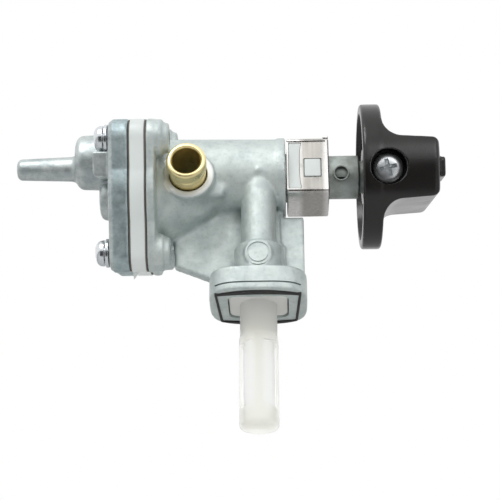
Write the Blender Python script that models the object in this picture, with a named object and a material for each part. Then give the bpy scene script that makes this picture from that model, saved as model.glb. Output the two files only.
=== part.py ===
"""Vacuum fuel tap of a motorcycle: a die-cast body with a tank flange and strainer, a diaphragm
block on the left, a brass outlet pipe at the front and a turn knob on the right.

Frame: metres, +Z up as pictured, +X along the barrel towards the knob, -Y towards the viewer.
The origin is the centre of the tank flange's sealing face, and the strainer hangs along -Z."""

from math import acos, atan2, cos, degrees, pi, radians, sin

import bmesh
import bpy

MM = 0.001

# Clearances
FIT = 0.3 * MM  # between pieces that seat on each other
SEAL_GAP = 0.15 * MM  # on each side of a clamped diaphragm

# Tank flange
FLANGE_WIDTH = 26.2 * MM
FLANGE_DEPTH = 25.0 * MM
FLANGE_HEIGHT = 7.1 * MM
FLANGE_SQUARENESS = 3.6  # power of the superellipse: 2 is an ellipse
RIM_WIDTH = 1.1 * MM
GROOVE_SQUARENESS = 4.6
GROOVE_WIDTH = 1.1 * MM  # at the flange's left and right
GROOVE_MORE = 0.7 * MM  # more than that at its front and back
GROOVE_DEPTH = 1.4 * MM
LAND_WIDTH = 2.8 * MM
GASKET_PROUD = 0.4 * MM  # beyond the sealing face
POCKET_DEPTH = 3.0 * MM
PARTING_HEIGHT = 1.9 * MM  # of the fine slot across the flange's front
PARTING_GAP = 0.6 * MM
PARTING_DEPTH = 0.5 * MM
PARTING_CORNER = 2.5 * MM  # from the slot's ends to the flange's sides

# Barrel
BARREL_HEIGHT = 39.0 * MM  # axis above the sealing face
BARREL_END = 7.8 * MM  # x of the end face on the knob's side
BARREL_RADIUS = 10.9 * MM  # at the collar
BARREL_DRAFT = 0.5 * MM  # more than that at the diaphragm block
COLLAR_RADIUS = 11.25 * MM
COLLAR_LENGTH = 2.5 * MM
BORE_RADIUS = 8.0 * MM
BORE_BOTTOM = -6.0 * MM

# Diaphragm block
TILT = radians(25)  # of the block about the barrel, top towards the viewer
BLOCK_Y = 0.8 * MM
BLOCK_DROP = 5.0 * MM  # below the barrel axis
SCREW_SPACING = 30.7 * MM
CORNER = 5.3 * MM  # radius round each screw
SIDE_BULGE = 1.15 * MM  # of the round middle of each side
BODY_FACE = -29.2 * MM  # x of the body's diaphragm face
BODY_PLATE = 2.2 * MM
BOSS_LENGTH = 3.7 * MM
DIAPHRAGM = 0.35 * MM
SPACER = 3.6 * MM
NIB = 1.8 * MM  # below the spacer's edge
NIB_WIDTH = 1.6 * MM
COVER_PLATE = 5.35 * MM
CHAMBER_RADIUS = 13.6 * MM
CHAMBER_DEPTH = 4.5 * MM
SWELL_WALL = 2.4 * MM  # of the casting round the chamber
SWELL_REACH = 9.1 * MM  # of the casting's swelling beyond the outlet's axis
SWELL_TIP = 5.0 * MM  # radius at its end
COVER_POCKET = 3.4 * MM
SEAT_RADIUS = 4.6 * MM
SEAT_BORE = 2.6 * MM
SEAT_HEIGHT = 1.6 * MM
CUP_RADIUS = 6.2 * MM
CUP_HEIGHT = 4.3 * MM
CUP_WALL = 1.2 * MM
DOME_RADIUS = 7.6 * MM
DOME_RISE = 10.0 * MM  # above the block's centre, along the block
DOME_LENGTH = 10.9 * MM
NIPPLE_RISE = 8.3 * MM
NIPPLE_LENGTH = 16.7 * MM
NIPPLE_ROOT = 3.45 * MM
NIPPLE_TIP = 3.0 * MM
NIPPLE_BORE = 1.7 * MM
RIB_HEIGHT = 8.2 * MM
RIB_RISE = 9.0 * MM

# Cover screws
SCREW_RADIUS = 1.9 * MM
SCREW_HEAD_RADIUS = 3.55 * MM
SCREW_HEAD = 2.6 * MM
WASHER = 0.9 * MM
WASHER_RADIUS = 3.9 * MM

# Plunger that the diaphragms carry
PLATE_RADIUS = 7.5 * MM
PLATE = 0.8 * MM
STEM_RADIUS = 1.8 * MM
SPRING_RADIUS = 3.3 * MM
SPRING_WIRE = 0.4 * MM
SPRING_TURNS = 5

# Outlet
OUTLET_X = -18.6 * MM
OUTLET_FACE = -13.0 * MM  # y of the boss's front face
OUTLET_RADIUS = 7.2 * MM
OUTLET_ROOT_RADIUS = 9.6 * MM
OUTLET_FLARE = 7.5 * MM  # length of the boss up to its foot
PIPE_TIP = -21.0 * MM
PIPE_ROOT = -6.0 * MM
PIPE_RADIUS = 4.9 * MM
BEAD_RADIUS = 5.35 * MM
BEAD_LENGTH = 4.2 * MM
PIPE_BORE = 3.8 * MM

# Inlet neck
NECK_X = 0.35 * MM
NECK_SETBACK = 0.65 * MM  # of the neck's boss behind the flange's front
NECK_RADIUS = 4.8 * MM
NECK_BOSS_RADIUS = 6.6 * MM
NECK_BOSS_TOP = 15.2 * MM
INLET_RADIUS = 2.7 * MM

# Webs under the barrel
WEB_FRONT = -1.0 * MM
WEB_BACK = 2.0 * MM
WEB_RIGHT = 12.6 * MM
WEB_DROP = 4.1 * MM  # of the right web's top below the clip
WEB_ARC = 10.8 * MM
WEB_ARC_X = -12.3 * MM
WEB_ARC_DROP = 20.8 * MM  # of the arc's centre below the barrel axis
WEB_FOOT = 1.0 * MM  # of the left web's foot above the flange
WEB_TAIL = 6.15 * MM  # of the left web's lowest left point below the arc's centre

# Knob side
CLIP_X = 8.15 * MM
CLIP_LENGTH = 11.6 * MM
CLIP_DEPTH = 16.0 * MM  # along Y
CLIP_HEIGHT = 17.0 * MM
CLIP_SHEET = 0.8 * MM
SLOT_START = 1.1 * MM
SLOT_WIDTH = 2.5 * MM
CATCH_WIDTH = 5.0 * MM
CATCH_HEIGHT = 5.9 * MM
CATCH_DROP = 0.8 * MM
SHAFT_RADIUS = 6.05 * MM
SHAFT_END = 28.1 * MM
TANG_RADIUS = 4.5 * MM
ROTOR_FACE = -2.6 * MM
PACKING = 2.8 * MM
PACKING_PORT = 1.5 * MM
PACKING_REACH = 4.2 * MM  # of the ports from the axis
ROTOR_CUP = 5.4 * MM
ROTOR_WALL = 1.6 * MM
ROTOR_PORT = 1.6 * MM
SEAL_WIRE = 0.75 * MM  # radius of the shaft seal's round section
SEAL_X = 6.4 * MM
SPIGOT = 3.5 * MM
KNOB_TURN = radians(19.3)  # of the grip's front end below the outlet's direction

# Knob
KNOB_X = 28.45 * MM
KNOB_RADIUS = 20.2 * MM
DISC = 5.5 * MM
KNOB_DEPTH = 20.5 * MM
GRIP_HALF = 8.0 * MM
GRIP_ROOT_HALF = 8.5 * MM
GRIP_FILLET = 5.4 * MM
GRIP_EDGE = 2.2 * MM  # radius of the grip's long top edges
GRIP_CROWN = 1.1 * MM  # height of the curve at the grip's ends
DISH_RADIUS = 17.8 * MM
DISH_DEPTH = 1.6 * MM
HUB_RADIUS = 7.6 * MM
HUB_RECESS = 0.8 * MM
SCREW_WELL_RADIUS = 4.9 * MM
SCREW_WELL_DEPTH = 5.6 * MM
SCREW_WELL_X = 6.85 * MM
KNOB_SCREW_RADIUS = 1.75 * MM
KNOB_SCREW_HEAD = 4.0 * MM  # radius of the head
KNOB_SCREW_HEIGHT = 2.2 * MM
POINTER_RISE = 1.6 * MM
POINTER_LENGTH = 11.0 * MM
POINTER_WIDTH = 5.4 * MM
POINTER_SETBACK = 2.6 * MM  # from the knob's rim

# Strainer
BASE_PLATE = 2.2 * MM
TUBE_RADIUS = 4.97 * MM
TUBE_WALL = 1.1 * MM
TUBE_LENGTH = 8.5 * MM
CAGE_RADIUS = 5.2 * MM
CAGE_WALL = 0.8 * MM
CAGE_BOTTOM = -34.0 * MM
WINDOW_TOP = -10.8 * MM
WINDOW_BOTTOM = -28.9 * MM
WINDOWS = 4
GAUZE = 0.3 * MM

# Faceting
FINE = 36
ROUND = 26
SMALL = 14

# Places worked out from the sizes
BLOCK_Z = BARREL_HEIGHT - BLOCK_DROP
SIDE = SCREW_SPACING + 2 * CORNER
ROUND_RADIUS = SIDE / 2 + SIDE_BULGE
BODY_BACK = BODY_FACE + BODY_PLATE
BOSS_END = BODY_BACK + BOSS_LENGTH
SEAL_SPACE = DIAPHRAGM + 2 * SEAL_GAP
SPACER_RIGHT = BODY_FACE - SEAL_SPACE
SPACER_LEFT = SPACER_RIGHT - SPACER
COVER_RIGHT = SPACER_LEFT - SEAL_SPACE
COVER_LEFT = COVER_RIGHT - COVER_PLATE
FUEL_SHEET_X = BODY_FACE - SEAL_SPACE / 2
VACUUM_SHEET_X = SPACER_LEFT - SEAL_SPACE / 2
CHAMBER_FLOOR = BODY_FACE + CHAMBER_DEPTH
SEAT_TOP = CHAMBER_FLOOR - SEAT_HEIGHT
DOME_LEFT = COVER_LEFT - DOME_LENGTH
NIPPLE_END = DOME_LEFT - NIPPLE_LENGTH
CUP_LEFT = COVER_LEFT - CUP_HEIGHT
CLIP_END = CLIP_X + CLIP_LENGTH
BUSH_HALF_Y = CLIP_DEPTH / 2 - CLIP_SHEET - FIT
BUSH_HALF_Z = CLIP_HEIGHT / 2 - CLIP_SHEET - FIT
POCKET_HALF_X = FLANGE_WIDTH / 2 - RIM_WIDTH - GROOVE_WIDTH - LAND_WIDTH
POCKET_HALF_Y = FLANGE_DEPTH / 2 - RIM_WIDTH - GROOVE_WIDTH - LAND_WIDTH
NECK_Y = -FLANGE_DEPTH / 2 + NECK_SETBACK + NECK_BOSS_RADIUS
WEB_TOP = BARREL_HEIGHT - CLIP_HEIGHT / 2 - WEB_DROP
WEB_ARC_Z = BARREL_HEIGHT - WEB_ARC_DROP


def clear_scene():
    for thing in list(bpy.data.objects):
        bpy.data.objects.remove(thing)


def material(name, colour, roughness, metallic=0.0):
    made = bpy.data.materials.new(name)
    made.use_nodes = True
    shader = made.node_tree.nodes["Principled BSDF"]
    shader.inputs["Base Color"].default_value = (*colour, 1)
    shader.inputs["Roughness"].default_value = roughness
    shader.inputs["Metallic"].default_value = metallic
    return made


def add_object(name, mesh_data, finish, parent=None):
    made = bpy.data.objects.new(name, mesh_data)
    bpy.context.scene.collection.objects.link(made)
    if finish:
        made.data.materials.append(finish)
    made.parent = parent
    return made


def from_bmesh(name, shape, finish, parent=None):
    bmesh.ops.recalc_face_normals(shape, faces=shape.faces)
    data = bpy.data.meshes.new(name)
    shape.to_mesh(data)
    shape.free()
    data.shade_smooth()
    data.set_sharp_from_angle(angle=radians(35))
    return add_object(name, data, finish, parent)


def stitch(shape, rings, loop):
    """Faces between neighbouring rings of points; a ring of one point is a tip."""
    pairs = list(zip(rings, rings[1:]))
    if loop:
        pairs.append((rings[-1], rings[0]))
    for first, second in pairs:
        count = max(len(first), len(second))
        for i in range(count if count > 1 else 0):
            j = (i + 1) % count
            corners = [first[i % len(first)], first[j % len(first)],
                       second[j % len(second)], second[i % len(second)]]
            unique = list(dict.fromkeys(corners))
            if len(unique) > 2:
                shape.faces.new(unique)


AXES = {
    "X": lambda a, r, t: (a, r * cos(t), r * sin(t)),
    "Y": lambda a, r, t: (r * sin(t), a, r * cos(t)),
    "Z": lambda a, r, t: (r * cos(t), r * sin(t), a),
}


def turned(name, profile, finish, axis="X", at=(0, 0, 0), steps=ROUND, loop=False, parent=None):
    """A solid of revolution: profile is (place along the axis, radius) pairs."""
    shape = bmesh.new()
    rings = []
    for along, radius in profile:
        count = 1 if radius == 0 else steps
        rings.append([shape.verts.new(AXES[axis](along, radius, 2 * pi * i / steps))
                      for i in range(count)])
    stitch(shape, rings, loop)
    made = from_bmesh(name, shape, finish, parent)
    made.location = at
    return made


def extruded(name, outline, start, end, finish, axis="X", at=(0, 0, 0), parent=None):
    """A prism along an axis: outline is a list of points across it."""
    place = {
        "X": lambda a, p: (a, p[0], p[1]),
        "Y": lambda a, p: (p[0], a, p[1]),
        "Z": lambda a, p: (p[0], p[1], a),
    }[axis]
    shape = bmesh.new()
    rings = [[shape.verts.new(place(along, p)) for p in outline] for along in (start, end)]
    stitch(shape, rings, False)
    for ring in rings:
        shape.faces.new(ring)
    made = from_bmesh(name, shape, finish, parent)
    made.location = at
    return made


def arc(centre, radius, start, end, count):
    """Points of an arc, angles in degrees."""
    angles = [radians(start + (end - start) * i / count) for i in range(count + 1)]
    return [(centre[0] + radius * cos(t), centre[1] + radius * sin(t)) for t in angles]


def circle(radius, count=ROUND, centre=(0, 0)):
    """A round outline, turned a little so that no point falls on a neighbour's edge."""
    return arc(centre, radius, 4, 364, count)[:-1]


def rounded_box(half_x, half_y, corner, count=4):
    outline = []
    for sx, sy, start in ((1, 1, 0), (-1, 1, 90), (-1, -1, 180), (1, -1, 270)):
        centre = (sx * (half_x - corner), sy * (half_y - corner))
        outline += arc(centre, corner, start, start + 90, count)
    return outline


def block_outline(inset=0.0):
    """The rounded square with a round bulge in the middle of each side."""
    half = SIDE / 2 - inset
    bulge = ROUND_RADIUS - inset
    spread = degrees(acos(half / bulge))
    corner = max(CORNER - inset, 0.5 * MM)
    outline = []
    for quarter in range(4):
        turn = 90 * quarter
        outline += arc((0, 0), bulge, turn - spread, turn + spread, 3)
        sx, sy = ((1, 1), (-1, 1), (-1, -1), (1, -1))[quarter]
        centre = (sx * (half - corner), sy * (half - corner))
        outline += arc(centre, corner, turn, turn + 90, 4)
    return outline


def flange_outline(inset=0.0, inset_y=None, squareness=FLANGE_SQUARENESS):
    """The tank flange's outline: bowed sides and round corners, as one superellipse."""
    half_x = FLANGE_WIDTH / 2 - inset
    half_y = FLANGE_DEPTH / 2 - (inset if inset_y is None else inset_y)
    power = 2 / squareness
    outline = []
    for i in range(FINE):
        across, along = cos(2 * pi * i / FINE), sin(2 * pi * i / FINE)
        outline.append((half_x * abs(across) ** power * (1 if across > 0 else -1),
                        half_y * abs(along) ** power * (1 if along > 0 else -1)))
    return outline


def groove_outer(inset=0.0):
    """The outer edge of the gasket's groove."""
    return flange_outline(RIM_WIDTH + inset, squareness=GROOVE_SQUARENESS)


def groove_inner(inset=0.0):
    """The inner edge of the gasket's groove, which is wider at the flange's front and back."""
    width = RIM_WIDTH + GROOVE_WIDTH + inset
    return flange_outline(width, width + GROOVE_MORE, GROOVE_SQUARENESS)


def helper(tool):
    tool.hide_render = True
    tool.display_type = "WIRE"
    return tool


def combine(target, tool, operation):
    helper(tool)
    step = target.modifiers.new(tool.name, "BOOLEAN")
    step.operation = operation
    step.solver = "EXACT"
    step.object = tool


def join(target, *tools):
    for tool in tools:
        combine(target, tool, "UNION")


def cut(target, *tools):
    for tool in tools:
        combine(target, tool, "DIFFERENCE")


def empty(name, place, turn=0.0):
    made = bpy.data.objects.new(name, None)
    bpy.context.scene.collection.objects.link(made)
    made.location = place
    made.rotation_euler = (turn, 0, 0)
    return made


def screw_places():
    half = SCREW_SPACING / 2
    return [(-half, half), (half, half), (half, -half), (-half, -half)]


def tap_body(finish, block):
    """The alloy casting: barrel, diaphragm flange, outlet boss, inlet neck, webs and tank flange."""
    barrel_start = BODY_FACE + BODY_PLATE / 2
    collar = BARREL_END - COLLAR_LENGTH
    edge = 0.3 * MM
    body = turned("tap_body", [
        (barrel_start, 0), (barrel_start, BARREL_RADIUS + BARREL_DRAFT), (collar, BARREL_RADIUS),
        (collar + edge, COLLAR_RADIUS), (BARREL_END - edge, COLLAR_RADIUS),
        (BARREL_END, COLLAR_RADIUS - edge), (BARREL_END, 0),
    ], finish, at=(0, 0, BARREL_HEIGHT), steps=FINE)
    join(body, diaphragm_side(block), outlet_boss(), inlet_neck(), *webs(), tank_flange())
    cut(body, *body_cuts(block))
    return body


def diaphragm_side(block):
    """The square plate, its four screw bosses and the swelling that runs into the barrel."""
    plate = extruded("plate_tool", block_outline(), BODY_FACE, BODY_BACK, None, parent=block)
    start = BODY_BACK - 1 * MM
    swell = CHAMBER_RADIUS + SWELL_WALL
    neck = BODY_BACK - 0.5 * MM
    reach = OUTLET_X + SWELL_REACH - neck
    curve = [(neck + reach * s, SWELL_TIP + (swell - SWELL_TIP) * (1 - s + cos(pi / 2 * s)) / 2)
             for s in [i / 6 for i in range(7)]]
    bulge = turned("swell_tool", [(start, 0), (start, swell), *curve, (neck + reach, 0)], None,
                   parent=block)
    join(plate, bulge)
    for number, (across, up) in enumerate(screw_places(), 1):
        half = BOSS_LENGTH / 2
        radius = CORNER - 0.2 * MM
        boss = turned(f"boss_tool_{number}", [
            (start, 0), (start, radius), (BODY_BACK + half, radius),
            (BODY_BACK + half + 0.3 * MM, radius - 0.9 * MM), (BOSS_END, radius - 1.1 * MM),
            (BOSS_END, 0),
        ], None, at=(0, across, up), steps=SMALL + 1, parent=block)
        join(plate, boss)
    return plate


def outlet_boss():
    """A round boss whose foot flares into the barrel."""
    flare = OUTLET_ROOT_RADIUS - OUTLET_RADIUS
    start = OUTLET_FACE + 2 * MM
    foot = OUTLET_FACE + OUTLET_FLARE
    curve = [(start + (foot - start) * sin(t), OUTLET_RADIUS + flare * (1 - cos(t)))
             for t in [pi / 2 * i / 6 for i in range(7)]]
    edge = 0.5 * MM
    return turned("outlet_tool", [
        (OUTLET_FACE, 0), (OUTLET_FACE, OUTLET_RADIUS - edge), (OUTLET_FACE + edge, OUTLET_RADIUS),
        *curve, (0, OUTLET_ROOT_RADIUS), (0, 0),
    ], None, axis="Y", at=(OUTLET_X, 0, BLOCK_Z), steps=FINE)


def inlet_neck():
    """The upright fuel passage: a boss on the flange and a slender neck that runs into the barrel."""
    shoulder = NECK_BOSS_RADIUS - NECK_RADIUS
    foot = FLANGE_HEIGHT - 2 * MM
    return turned("neck_tool", [
        (foot, 0), (foot, NECK_BOSS_RADIUS), (NECK_BOSS_TOP - shoulder, NECK_BOSS_RADIUS),
        (NECK_BOSS_TOP - shoulder * 0.4, NECK_BOSS_RADIUS - shoulder * 0.3),
        (NECK_BOSS_TOP, NECK_RADIUS), (BARREL_HEIGHT, NECK_RADIUS), (BARREL_HEIGHT, 0),
    ], None, axis="Z", at=(NECK_X, NECK_Y, 0))


def webs():
    """Flat webs under the barrel: a round-backed one on the left, an upright one on the right."""
    foot = FLANGE_HEIGHT - 2 * MM
    low_left = (WEB_ARC_X - WEB_ARC + 0.3 * MM, WEB_ARC_Z - WEB_TAIL)
    left = [(0, foot), (-FLANGE_WIDTH / 2 + 1.5 * MM, foot),
            (-FLANGE_WIDTH / 2, FLANGE_HEIGHT + WEB_FOOT), low_left,
            *arc((WEB_ARC_X, WEB_ARC_Z), WEB_ARC, 195, 90, 10), (0, WEB_ARC_Z + WEB_ARC)]
    right = [(0, foot), (0, BARREL_HEIGHT - 4 * MM), (BARREL_END - 1 * MM, BARREL_HEIGHT - 4 * MM),
             (BARREL_END - 1 * MM, WEB_TOP), (WEB_RIGHT, WEB_TOP), (WEB_RIGHT, foot)]
    return (extruded("left_web_tool", left, WEB_FRONT, WEB_BACK, None, axis="Y"),
            extruded("right_web_tool", right, WEB_FRONT, WEB_BACK, None, axis="Y"))


def tank_flange():
    """The flange that bolts to the tank, its face at z = 0, with a parting slot across its front."""
    flange = extruded("flange_tool", flange_outline(), 0, FLANGE_HEIGHT, None, axis="Z")
    half = FLANGE_WIDTH / 2 - PARTING_CORNER
    front = -FLANGE_DEPTH / 2
    deep = front + 3 * MM
    slot = [(-half, front - 2 * MM), (half, front - 2 * MM), (half, deep), (-half, deep)]
    keep = extruded("slot_keep_tool", flange_outline(PARTING_DEPTH), 0, FLANGE_HEIGHT, None, axis="Z")
    groove = extruded("slot_tool", slot, PARTING_HEIGHT, PARTING_HEIGHT + PARTING_GAP, None, axis="Z")
    cut(groove, keep)
    cut(flange, groove)
    return flange


def body_cuts(block):
    """Every hollow of the casting, as cutters."""
    beyond = 2 * MM
    bore = turned("bore_cutter", [
        (BORE_BOTTOM, 0), (BORE_BOTTOM, BORE_RADIUS), (BARREL_END + beyond, BORE_RADIUS),
        (BARREL_END + beyond, 0),
    ], None, at=(0, 0, BARREL_HEIGHT))
    chamber = turned("chamber_cutter", [
        (BODY_FACE - beyond, 0), (BODY_FACE - beyond, CHAMBER_RADIUS), (CHAMBER_FLOOR, CHAMBER_RADIUS),
        (CHAMBER_FLOOR, SEAT_RADIUS), (SEAT_TOP, SEAT_RADIUS), (SEAT_TOP, SEAT_BORE),
        (OUTLET_X, SEAT_BORE), (OUTLET_X, 0),
    ], None, steps=ROUND + 4, parent=block)
    outlet = turned("outlet_cutter", [
        (OUTLET_FACE - beyond, 0), (OUTLET_FACE - beyond, PIPE_RADIUS + FIT),
        (PIPE_ROOT + FIT, PIPE_RADIUS + FIT), (PIPE_ROOT + FIT, PIPE_BORE),
        (BLOCK_Y + SEAT_BORE, PIPE_BORE), (BLOCK_Y + SEAT_BORE, 0),
    ], None, axis="Y", at=(OUTLET_X, 0, BLOCK_Z))
    inlet = turned("inlet_cutter", [
        (POCKET_DEPTH, 0), (POCKET_DEPTH, INLET_RADIUS), (BARREL_HEIGHT - 3 * MM, INLET_RADIUS),
        (BARREL_HEIGHT - 3 * MM, 0),
    ], None, axis="Z", at=(NECK_X, NECK_Y, 0), steps=SMALL)
    ceiling = POCKET_DEPTH + 1.6 * MM
    well = extruded("well_cutter", rounded_box(TUBE_RADIUS, POCKET_HALF_Y, 2.5 * MM),
                    POCKET_DEPTH - 1 * MM, ceiling, None, axis="Z")
    pocket = extruded("pocket_cutter", rounded_box(POCKET_HALF_X, POCKET_HALF_Y, 2.5 * MM), -beyond,
                      POCKET_DEPTH, None, axis="Z")
    groove = extruded("groove_cutter", groove_outer(), -beyond, GROOVE_DEPTH, None, axis="Z")
    island = extruded("island_cutter", groove_inner(), -2 * beyond, GROOVE_DEPTH + beyond, None, axis="Z")
    cut(groove, island)
    drill = (BODY_FACE - beyond, BOSS_END + beyond)
    holes = [extruded(f"hole_cutter_{number}", circle(SCREW_RADIUS + FIT, SMALL), *drill, None,
                      at=(0, across, up), parent=block)
             for number, (across, up) in enumerate(screw_places(), 1)]
    link = turned("link_cutter", [
        (CHAMBER_FLOOR - 1 * MM, 0), (CHAMBER_FLOOR - 1 * MM, 1.3 * MM), (BORE_BOTTOM + 1 * MM, 1.3 * MM),
        (BORE_BOTTOM + 1 * MM, 0),
    ], None, at=(0, BLOCK_Y, BLOCK_Z + 7 * MM), steps=12)
    return [bore, chamber, outlet, inlet, well, pocket, groove, link, *holes]


def outlet_pipe(finish):
    """A brass pipe pressed into its boss, with a round bead that holds the hose."""
    bead_end = PIPE_TIP + BEAD_LENGTH
    lip = 0.9 * MM
    tip = [(PIPE_TIP + lip - lip * sin(t), BEAD_RADIUS - lip + lip * cos(t))
           for t in [pi / 2 * (2 - i) / 2 for i in range(3)]]
    neck = 0.25 * MM
    return turned("outlet_pipe", [
        (PIPE_ROOT, PIPE_BORE), (PIPE_TIP + 0.5 * MM, PIPE_BORE), (PIPE_TIP, PIPE_BORE + 0.5 * MM),
        *tip, (bead_end - 0.8 * MM, BEAD_RADIUS), (bead_end, PIPE_RADIUS - neck),
        (bead_end + 0.7 * MM, PIPE_RADIUS - neck), (bead_end + 1.1 * MM, PIPE_RADIUS),
        (PIPE_ROOT, PIPE_RADIUS),
    ], finish, axis="Y", at=(OUTLET_X, 0, BLOCK_Z), steps=28, loop=True)


def diaphragm_cover(finish, block):
    """The cast cover: plate, spring cup, vacuum dome with its nipple, and the drilled rib."""
    step = 1.3 * MM
    cover = extruded("diaphragm_cover", block_outline(), COVER_LEFT + step, COVER_RIGHT, finish,
                     parent=block)
    face = extruded("face_tool", block_outline(0.6 * MM), COVER_LEFT, COVER_LEFT + 2 * step, None,
                    parent=block)
    inside = COVER_LEFT + COVER_PLATE / 2
    soft = 1.6 * MM
    cup_edge = arc((CUP_LEFT + soft, CUP_RADIUS - soft), soft, 180, 90, 4)
    cup = turned("cup_tool", [(CUP_LEFT, 0), *cup_edge, (COVER_LEFT, CUP_RADIUS + 0.4 * MM),
                              (inside, CUP_RADIUS + 0.4 * MM), (inside, 0)], None, parent=block)
    round_off = 2.2 * MM
    dome_edge = arc((DOME_LEFT + round_off, DOME_RADIUS - round_off), round_off, 180, 90, 5)
    dome = turned("dome_tool", [(DOME_LEFT, 0), *dome_edge, (COVER_LEFT, DOME_RADIUS + 0.3 * MM),
                                (inside, DOME_RADIUS + 0.3 * MM), (inside, 0)], None,
                  at=(0, 0, DOME_RISE), parent=block)
    nipple = nipple_tool(block)
    half = RIB_HEIGHT / 2
    rib_outline = [(COVER_LEFT + 1 * MM, -half), (CUP_LEFT + soft, -half),
                   *arc((CUP_LEFT + soft, -half + soft), soft, 270, 180, 4),
                   *arc((CUP_LEFT + soft, half - soft), soft, 180, 90, 4),
                   (COVER_LEFT + 1 * MM, half)]
    rib = extruded("rib_tool", rib_outline, -SIDE / 2 + CORNER / 2, 0, None, axis="Y",
                   at=(0, 0, RIB_RISE), parent=block)
    join(cover, face, cup, dome, nipple, rib)
    cut(cover, *cover_cuts(block))
    return cover


def nipple_tool(block):
    round_off = 1.3 * MM
    tip = arc((NIPPLE_END + round_off, NIPPLE_TIP - round_off), round_off, 180, 90, 4)
    flare = 2.0 * MM
    root = [(DOME_LEFT - flare + flare * sin(t), NIPPLE_ROOT + flare * 0.5 * (1 - cos(t)))
            for t in [pi / 2 * i / 4 for i in range(5)]]
    return turned("nipple_tool", [(NIPPLE_END, 0), *tip, *root,
                                  (DOME_LEFT + 3 * MM, NIPPLE_ROOT + flare * 0.5),
                                  (DOME_LEFT + 3 * MM, 0)], None,
                  at=(0, 0, NIPPLE_RISE), steps=20, parent=block)


def cover_cuts(block):
    beyond = 2 * MM
    pocket_floor = COVER_RIGHT - COVER_POCKET
    pocket = turned("cover_pocket_cutter", [
        (CUP_LEFT + CUP_WALL, 0), (CUP_LEFT + CUP_WALL, CUP_RADIUS - CUP_WALL),
        (pocket_floor, CUP_RADIUS - CUP_WALL), (pocket_floor, CHAMBER_RADIUS),
        (COVER_RIGHT + beyond, CHAMBER_RADIUS), (COVER_RIGHT + beyond, 0),
    ], None, steps=ROUND + 4, parent=block)
    passage = extruded("passage_cutter", circle(NIPPLE_BORE, 16), NIPPLE_END - beyond,
                       pocket_floor + 1 * MM, None, at=(0, 0, NIPPLE_RISE), parent=block)
    spot = WASHER_RADIUS + FIT
    holes = [turned(f"cover_hole_cutter_{number}", [
        (DOME_LEFT, 0), (DOME_LEFT, spot), (COVER_LEFT, spot), (COVER_LEFT, SCREW_RADIUS + FIT),
        (COVER_RIGHT + beyond, SCREW_RADIUS + FIT), (COVER_RIGHT + beyond, 0),
    ], None, at=(0, across, up), steps=SMALL, parent=block)
             for number, (across, up) in enumerate(screw_places(), 1)]
    return [pocket, passage, *holes]


def spacer_plate(finish, block):
    """The white plate between the two diaphragms, with a locating nib on its lower edge."""
    spacer = extruded("spacer_plate", block_outline(), SPACER_LEFT, SPACER_RIGHT, finish, parent=block)
    edge = -SIDE / 2
    root = edge + CORNER / 4
    right = SPACER_LEFT + NIB_WIDTH
    nib = [(SPACER_LEFT, root), (SPACER_LEFT, edge), (SPACER_LEFT + NIB_WIDTH / 8, edge - NIB),
           (right, edge), (right, root)]
    tool = extruded("nib_tool", nib, -NIB_WIDTH / 2, NIB_WIDTH / 2, None, axis="Y",
                    at=(0, edge + CORNER, 0), parent=block)
    join(spacer, tool)
    beyond = 1 * MM
    drill = (SPACER_LEFT - beyond, SPACER_RIGHT + beyond)
    cut(spacer, extruded("spacer_cutter", circle(CHAMBER_RADIUS, ROUND + 4), *drill, None, parent=block))
    for number, (across, up) in enumerate(screw_places(), 1):
        cut(spacer, extruded(f"spacer_hole_cutter_{number}", circle(SCREW_RADIUS + FIT, SMALL), *drill,
                             None, at=(0, across, up), parent=block))
    return spacer


def diaphragm(name, middle, roll, finish, block):
    """A rubber sheet clamped at its edge, with a rolled fold between the edge and the plunger."""
    hole = STEM_RADIUS + FIT
    fold_in, fold_out = PLATE_RADIUS + 1 * MM, CHAMBER_RADIUS - 0.8 * MM
    line = [(0, hole), (0, fold_in), (roll, (fold_in + fold_out) / 2), (0, fold_out)]
    rim = block_outline(0.2 * MM)
    shape = bmesh.new()
    sheets = []
    for side in (-DIAPHRAGM / 2, DIAPHRAGM / 2):
        rings = []
        for lift, radius in line:
            turns = [atan2(y, x) for x, y in rim]
            rings.append([shape.verts.new((middle + lift + side, radius * cos(t), radius * sin(t)))
                          for t in turns])
        rings.append([shape.verts.new((middle + side, x, y)) for x, y in rim])
        sheets.append(rings)
    stitch(shape, sheets[0] + sheets[1][::-1], True)
    sheet = from_bmesh(name, shape, finish, block)
    for number, (across, up) in enumerate(screw_places(), 1):
        cut(sheet, extruded(f"{name}_cutter_{number}", circle(SCREW_RADIUS + FIT, SMALL),
                            middle - 1 * MM, middle + 1 * MM, None, at=(0, across, up), parent=block))
    return sheet


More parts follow.
